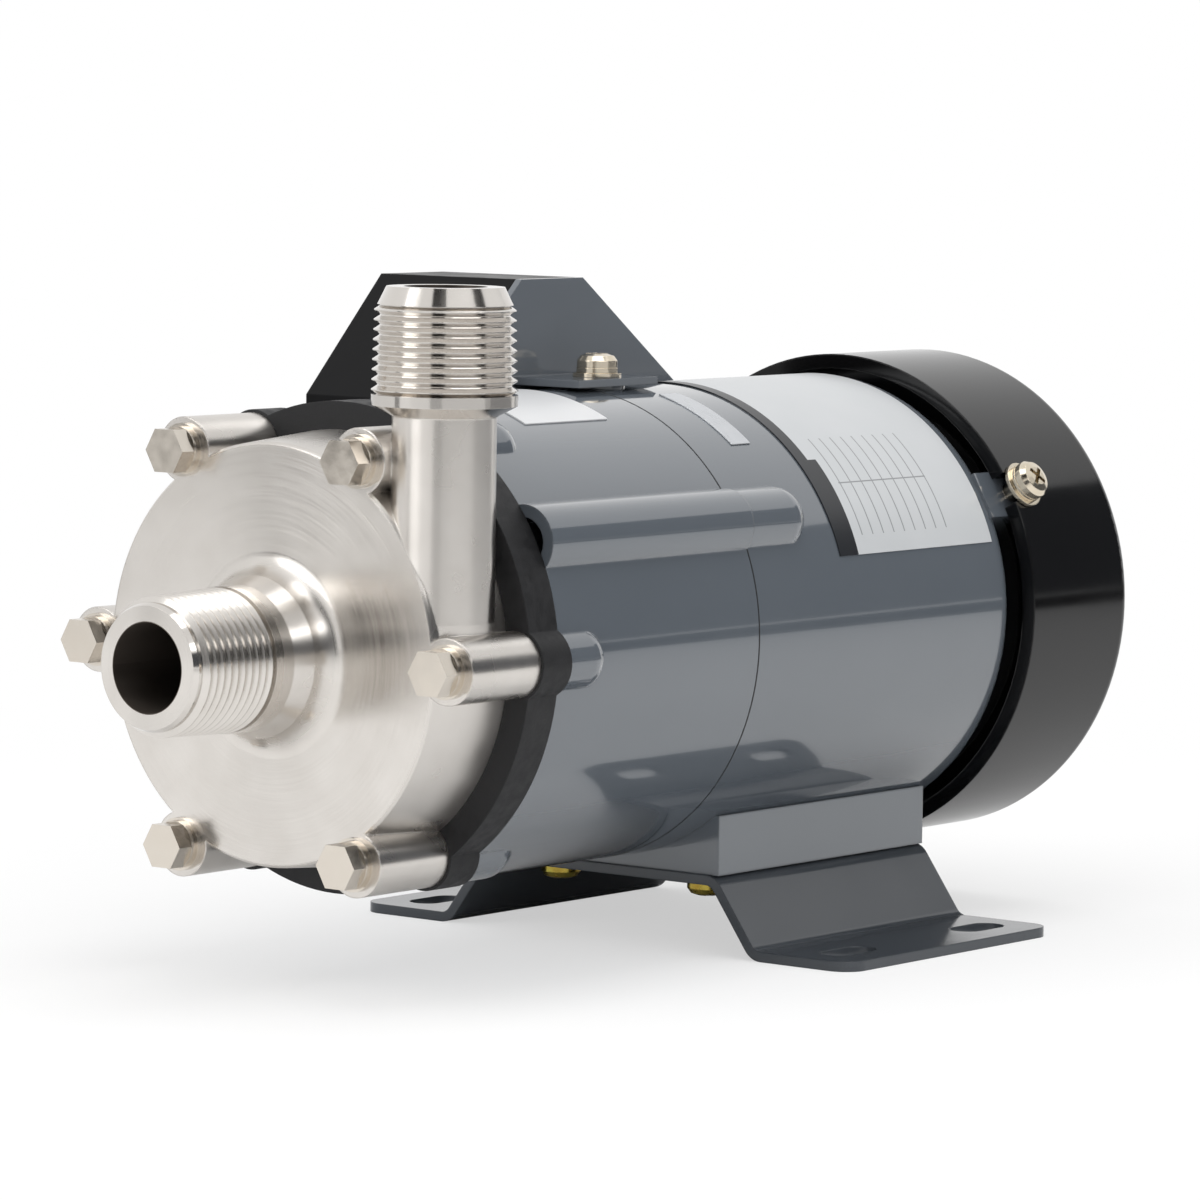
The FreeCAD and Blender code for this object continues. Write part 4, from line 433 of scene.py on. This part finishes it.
def riser_zone(foot_mm, radius_mm):
    """The mask of what lies above a height and within a radius of the riser's axis."""
    high = add(steel, "ShaderNodeMath", {0: above, 1: foot_mm * MM}, operation="GREATER_THAN")
    close = add(steel, "ShaderNodeMath", {0: riser_radius, 1: radius_mm * MM}, operation="LESS_THAN")
    return add(steel, "ShaderNodeMath", {0: high, 1: close}, operation="MULTIPLY")


collar = riser_zone(COLLAR_FOOT_MM, COLLAR_RADIUS_MM)
neck = riser_zone(NECK_FOOT_MM, NECK_RADIUS_MM)
on_riser = add(steel, "ShaderNodeMath", {0: collar, 1: neck}, operation="MAXIMUM")
inlet_thread = add(steel, "ShaderNodeMath", {0: parts["X"], 1: INLET_THREAD_END_MM * MM},
                   operation="LESS_THAN")
riser_thread = riser_zone(RISER_THREAD_FOOT_MM, COLLAR_RADIUS_MM)
threads = add(steel, "ShaderNodeMath", {0: inlet_thread, 1: riser_thread}, operation="MAXIMUM")
inlet_bore = add(steel, "ShaderNodeMath", {0: shaft_radius, 1: INLET_BORE_RADIUS_MM * MM},
                 operation="LESS_THAN")
riser_bore = riser_zone(RISER_BORE_FOOT_MM, RISER_BORE_RADIUS_MM)
bores = add(steel, "ShaderNodeMath", {0: inlet_bore, 1: riser_bore}, operation="MAXIMUM")
facing = add(steel, "ShaderNodeSeparateXYZ", {0: add(steel, "ShaderNodeNewGeometry").outputs["Normal"]})
lengthwise = add(steel, "ShaderNodeMath", {0: facing.outputs["X"]}, operation="ABSOLUTE")
flat_face = add(steel, "ShaderNodeMath", {0: lengthwise, 1: FLAT_FACE_LEAN}, operation="GREATER_THAN")
off_riser = add(steel, "ShaderNodeMath", {0: 1.0, 1: on_riser}, operation="SUBTRACT")
turned = add(steel, "ShaderNodeMath", {0: flat_face, 1: off_riser}, operation="MULTIPLY")
print("masks and distances take", len(steel.nodes), "nodes")

# %% [markdown]
# The stretched highlights come from the shader's anisotropy. Its tangent runs round the shaft, or
# round the riser's axis on the riser, as the tool did. A quarter turn of the rotation then spreads
# the light across the rings, and not along them.

# %% Head steel: tangents
round_shaft = add(steel, "ShaderNodeVectorMath", {0: (1, 0, 0), 1: from_shaft}, operation="CROSS_PRODUCT")
round_riser = add(steel, "ShaderNodeVectorMath", {0: (0, 0, 1), 1: from_riser}, operation="CROSS_PRODUCT")
tangent = add(steel, "ShaderNodeMix", {0: on_riser, 4: round_shaft, 5: round_riser}, data_type="VECTOR")
tangent = add(steel, "ShaderNodeVectorMath", {0: tangent.outputs[1]}, operation="NORMALIZE")
print("tangent comes from", tangent.name)

# %% [markdown]
# The relief is tool rings on the turned face and a blasted grain elsewhere. The rings are a noise
# that changes quickly with the radius and only slowly round the shaft, so each one wanders a little.
# Real rings lie 0.1 mm apart, and these are 0.35 mm, so that they show. Cast edges are rounded wider
# than thread crests, which stay crisp.

# %% Head steel: relief
RING_MM = 0.35
RING_WANDER = 0.02
BLAST_GRAIN_MM = 0.3
CLOUD_MM = 9
RELIEF_MM = 0.0016
CAST_EDGE_MM = 0.5
CREST_EDGE_MM = 0.08
wander_y = add(steel, "ShaderNodeMath", {0: across, 1: RING_WANDER}, operation="MULTIPLY")
wander_z = add(steel, "ShaderNodeMath", {0: above, 1: RING_WANDER}, operation="MULTIPLY")
ring_place = add(steel, "ShaderNodeCombineXYZ", {"X": shaft_radius, "Y": wander_y, "Z": wander_z})
rings = add(steel, "ShaderNodeTexNoise", {"Vector": ring_place, "Scale": per_metre(RING_MM),
                                          "Detail": 3.0}).outputs["Fac"]
clouds = add(steel, "ShaderNodeTexNoise", {"Vector": where, "Scale": per_metre(CLOUD_MM),
                                           "Detail": 2.0}).outputs["Fac"]
grain = add(steel, "ShaderNodeTexNoise", {"Vector": where, "Scale": per_metre(BLAST_GRAIN_MM),
                                          "Detail": 2.0}).outputs["Fac"]
height = add(steel, "ShaderNodeMix", {0: turned, 2: grain, 3: rings}, data_type="FLOAT")
edge = add(steel, "ShaderNodeMix", {0: threads, 2: CAST_EDGE_MM * MM, 3: CREST_EDGE_MM * MM},
           data_type="FLOAT")
rounded = add(steel, "ShaderNodeBevel", {"Radius": edge}, samples=4)
relief = add(steel, "ShaderNodeBump", {"Height": height, "Distance": RELIEF_MM * MM, "Strength": 1.0,
                                       "Normal": rounded})
print("tool rings every", RING_MM, "mm")

# %% [markdown]
# Last come the roughness and the tint. The turned face is streaked from ring to ring, the blasted
# walls are a cloudy satin, the threads are smoother, and inside the bores the metal is rough. Its
# colour there is darkened as painted shade, for the shade inside the bores, so it gives little light back.

# %% Head steel: roughness, tint and shader
STREAK_ROUGHNESS = 0.15
STREAK_SPREAD = 0.16
SATIN_ROUGHNESS = 0.22
SATIN_SPREAD = 0.14
THREAD_ROUGHNESS = 0.15
BORE_ROUGHNESS = 0.5
streaks = add(steel, "ShaderNodeMath", {0: rings, 1: STREAK_SPREAD, 2: STREAK_ROUGHNESS},
              operation="MULTIPLY_ADD")
satin = add(steel, "ShaderNodeMath", {0: clouds, 1: SATIN_SPREAD, 2: SATIN_ROUGHNESS},
            operation="MULTIPLY_ADD")
walls = add(steel, "ShaderNodeMix", {0: threads, 2: satin, 3: THREAD_ROUGHNESS}, data_type="FLOAT")
walls = add(steel, "ShaderNodeMix", {0: bores, 2: walls, 3: BORE_ROUGHNESS}, data_type="FLOAT")
roughness = add(steel, "ShaderNodeMix", {0: turned, 2: walls, 3: streaks}, data_type="FLOAT")
tint = add(steel, "ShaderNodeMix", {0: clouds, 6: srgb("#CAC5BF"), 7: srgb("#DCD8D3")}, data_type="RGBA")
# Painted shade: inside the bores the colour is darkened to #57504A
tint = add(steel, "ShaderNodeMix", {0: bores, 6: tint.outputs[2], 7: srgb("#57504A")}, data_type="RGBA")
shader = add(steel, "ShaderNodeBsdfPrincipled", {
    "Base Color": tint.outputs[2], "Roughness": roughness, "Anisotropic": 0.75, "Anisotropic Rotation": 0.25,
    "Tangent": tangent, "Normal": relief, **METAL})
add(steel, "ShaderNodeOutputMaterial", {"Surface": shader})
print("head finish has", len(steel.nodes), "nodes")

# %% [markdown]
# The rating label is a satin white film with a dark band along its front edge and a faint ruled
# table. The print is drawn in the colour only, from two lengths in millimetres: the place along the
# shaft, and the arc round it, counted up from the near side. So it needs no picture. The band comes
# first. It is narrow at the top and wider in its lower part.

# %% Rating label: dark band
BAND_EDGE = -12.6
WIDE_BAND_EDGE = -10.0
WIDE_BAND_TOP = 36.0


def label_band(tree, along, arc):
    """The mask of the dark band."""
    narrow = add(tree, "ShaderNodeMath", {0: along, 1: BAND_EDGE}, operation="LESS_THAN")
    ahead = add(tree, "ShaderNodeMath", {0: along, 1: WIDE_BAND_EDGE}, operation="LESS_THAN")
    low = add(tree, "ShaderNodeMath", {0: arc, 1: WIDE_BAND_TOP}, operation="LESS_THAN")
    wide = add(tree, "ShaderNodeMath", {0: ahead, 1: low}, operation="MULTIPLY")
    return add(tree, "ShaderNodeMath", {0: wide, 1: narrow}, operation="MAXIMUM")


print("band ends at", BAND_EDGE, "and", WIDE_BAND_EDGE, "mm along the shaft")

# %% [markdown]
# The table is a row of thin lines at one pitch with a rule across them. The fraction of the length
# over the pitch repeats from 0 to 1, so one comparison draws every line.

# %% Rating label: ruled table
TABLE_ALONG = (-7.5, 22.0)
TABLE_ARC = (18.5, 41.5)
LINE_PITCH = 3.6
# A line takes this share of the pitch, which is about 0.3 mm
LINE_SHARE = 0.09
RULE_ARC = 30.0
RULE_HALF_WIDTH = 0.15
TABLE_INK = 0.55


def between(tree, value, limits):
    """The mask of where a value lies between two limits."""
    over = add(tree, "ShaderNodeMath", {0: value, 1: limits[0]}, operation="GREATER_THAN")
    under = add(tree, "ShaderNodeMath", {0: value, 1: limits[1]}, operation="LESS_THAN")
    return add(tree, "ShaderNodeMath", {0: over, 1: under}, operation="MULTIPLY")


def label_table(tree, along, arc):
    """The mask of the table: lines round the motor, with one rule along it."""
    pitches = add(tree, "ShaderNodeMath", {0: along, 1: LINE_PITCH}, operation="DIVIDE")
    within_pitch = add(tree, "ShaderNodeMath", {0: pitches}, operation="FRACT")
    line = add(tree, "ShaderNodeMath", {0: within_pitch, 1: LINE_SHARE}, operation="LESS_THAN")
    rule = between(tree, arc, (RULE_ARC - RULE_HALF_WIDTH, RULE_ARC + RULE_HALF_WIDTH))
    drawn = add(tree, "ShaderNodeMath", {0: line, 1: rule}, operation="MAXIMUM")
    inside = add(tree, "ShaderNodeMath", {0: between(tree, arc, TABLE_ARC),
                                          1: between(tree, along, TABLE_ALONG)}, operation="MULTIPLY")
    table = add(tree, "ShaderNodeMath", {0: inside, 1: drawn}, operation="MULTIPLY")
    return add(tree, "ShaderNodeMath", {0: table, 1: TABLE_INK}, operation="MULTIPLY")


print("the table covers", TABLE_ALONG[1] - TABLE_ALONG[0], "by", TABLE_ARC[1] - TABLE_ARC[0], "mm")

# %% [markdown]
# Both need the two lengths. The arc is the angle round the shaft times the label's radius.

# %% Rating label: all its ink
LABEL_RADIUS = 46.6


def rating_print(tree, where):
    """The mask of all the ink on the rating label."""
    parts = add(tree, "ShaderNodeSeparateXYZ", {0: where}).outputs
    along = add(tree, "ShaderNodeMath", {0: parts["X"], 1: 1 / MM}, operation="MULTIPLY")
    above = add(tree, "ShaderNodeMath", {0: parts["Z"], 1: SHAFT_HEIGHT}, operation="SUBTRACT")
    nearer = add(tree, "ShaderNodeMath", {0: parts["Y"], 1: -1.0}, operation="MULTIPLY")
    angle = add(tree, "ShaderNodeMath", {0: above, 1: nearer}, operation="ARCTAN2")
    arc = add(tree, "ShaderNodeMath", {0: angle, 1: LABEL_RADIUS}, operation="MULTIPLY")
    return add(tree, "ShaderNodeMath", {0: label_band(tree, along, arc), 1: label_table(tree, along, arc)},
               operation="MAXIMUM")


print("arc of a quarter turn:", round(LABEL_RADIUS * math.pi / 2, 1), "mm")

# %% [markdown]
# Both white labels are polyester film: a smooth satin, faintly cloudy so that it doesn't look like
# flat paint. The narrow one is a silver foil.

# %% Label films
INK = srgb("#1E2024")
FILM_CLOUD_MM = 15


def label_film(name, dark, light, draw_print=None):
    """A white film, with the ink that draw_print makes where it is given."""
    made = empty_material(name)
    tree = made.node_tree
    where = add(tree, "ShaderNodeTexCoord").outputs["Object"]
    clouds = add(tree, "ShaderNodeTexNoise", {"Vector": where, "Scale": per_metre(FILM_CLOUD_MM),
                                              "Detail": 2.0}).outputs["Fac"]
    shade = add(tree, "ShaderNodeMix", {0: clouds, 6: srgb(dark), 7: srgb(light)}, data_type="RGBA")
    if draw_print:
        shade = add(tree, "ShaderNodeMix", {0: draw_print(tree, where), 6: shade.outputs[2], 7: INK},
                    data_type="RGBA")
    shader = add(tree, "ShaderNodeBsdfPrincipled", {"Base Color": shade.outputs[2], "Roughness": 0.3,
                                                    "IOR": 1.5})
    add(tree, "ShaderNodeOutputMaterial", {"Surface": shader})
    return made


rating_film = label_film("white polyester label", "#BABDBF", "#C2C4C6", rating_print)
notice_film = label_film("bare white label", "#CFD0D2", "#D8D9DA")
silver_film = finish("silver foil label", "#C9CBCE", "#B9BCC0", 3, (0.25, 0.35), 0.4, 0.003,
                     {"Metallic": 0.6})
print("label films:", [film.name for film in (rating_film, notice_film, silver_film)])

# %% [markdown]
# Each CAD node now gets the finish of its material slot. A few nodes share a slot but not a finish:
# the casing is turned where the bolts are formed, the base plate is darkened with painted shade, the
# rating label is printed, and both motor cores are stacked sheets.

# %% Give every node its finish
BY_SLOT = {
    "stainless": bolt_steel, "black_moulding": filled_casing, "pump_plastic": wetted_plastic,
    "seal_rubber": seal_rubber, "ceramic": alumina, "carbon": carbon, "magnet": ferrite,
    "grey_enamel": cast_enamel, "grey_sheet": sheet_enamel, "bright_alloy": machined_alloy,
    "motor_steel": bare_steel, "bearing_steel": ground_steel, "rotor_aluminium": cast_bars,
    "copper": wound_copper, "fan_plastic": fan_nylon, "gloss_black": gloss_cover,
    "black_plastic": satin_box, "nickel": bright_nickel, "yellow_zinc": yellow_zinc,
    "lead_insulation": lead_skin, "white_label": notice_film, "silver_label": silver_film,
}
BY_NODE = {
    "front_casing": head_steel, "base_plate": base_enamel_painted_shade, "rating_label": rating_film,
    "stator_core": laminated_steel, "rotor_core": laminated_steel,
}
for part in frame["record"]["subparts"]:
    name = part["node"]
    thing = nodes[name]
    chosen = BY_NODE.get(name, BY_SLOT[part["material_slot"]])
    if not thing.material_slots:
        thing.data.materials.append(chosen)
    for slot in thing.material_slots:
        slot.link = "OBJECT"
        slot.material = chosen
print("finishes given:", len(nodes))

# %% [markdown]
# The bracket's register slides into the motor housing, and the enamel stops at the joint. That
# leaves a hairline that catches shadow all round. It is made as a very thin dark ring that stands a
# hair proud of both castings, revolved from four profile points. A boolean groove would need a change
# to the CAD meshes, which stay as they are.

# %% Ring helper and the joint line
def ring(name, front, rear, inner, outer, segments, material, body):
    """A square-edged ring round the shaft, between two places and two radii in millimetres."""
    profile = [(front, inner), (front, outer), (rear, outer), (rear, inner)]
    count = len(profile)
    points = []
    for step in range(segments):
        turn = 2 * math.pi * step / segments
        for along, radius in profile:
            points.append((along * MM, radius * MM * math.cos(turn),
                           SHAFT_HEIGHT + radius * MM * math.sin(turn)))
    faces = []
    for step in range(segments):
        after = (step + 1) % segments
        for index in range(count):
            follow = (index + 1) % count
            faces.append((step * count + index, step * count + follow, after * count + follow,
                          after * count + index))
    mesh = bpy.data.meshes.new(name)
    mesh.from_pydata(points, [], faces)
    mesh.materials.append(material)
    made = bpy.data.objects.new(name, mesh)
    bpy.context.scene.collection.objects.link(made)
    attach(made, body)
    return made


SEAM_HALF_WIDTH = 0.14
SEAM_INNER = 46.2
SEAM_OUTER = 46.34
SEAM_SEGMENTS = 192
seam_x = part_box("motor_housing")[0].x / MM
joint_line = ring("joint_line", seam_x - SEAM_HALF_WIDTH, seam_x + SEAM_HALF_WIDTH, SEAM_INNER, SEAM_OUTER,
                  SEAM_SEGMENTS, seal_rubber, "pump_body")
print("joint line at", round(seam_x, 1), "mm, faces:", len(joint_line.data.polygons))

# %% [markdown]
# Inside the cover a narrow ring in the cover's gloss black closes the view through the gap, so that
# the gap looks black. It is painted shade: a dark piece standing where the inside of the cover lies in shade.

# %% Ring of painted shade in the cover gap
SHADE_RING_FRONT = 5.9
SHADE_RING_REAR = 7.1
SHADE_RING_INNER = 42.3
SHADE_RING_OUTER = 47.3
SHADE_RING_SEGMENTS = 128
cover_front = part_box("fan_cover")[0].x / MM
# Painted shade: a black ring in the gap, where the cover's inside lies in shade
gap_shade_ring = ring("gap_shade_ring", cover_front + SHADE_RING_FRONT, cover_front + SHADE_RING_REAR, SHADE_RING_INNER, SHADE_RING_OUTER,
                 SHADE_RING_SEGMENTS, gloss_cover, "pump_body")
print("painted shade ring behind", round(cover_front, 1), "mm, faces:", len(gap_shade_ring.data.polygons))
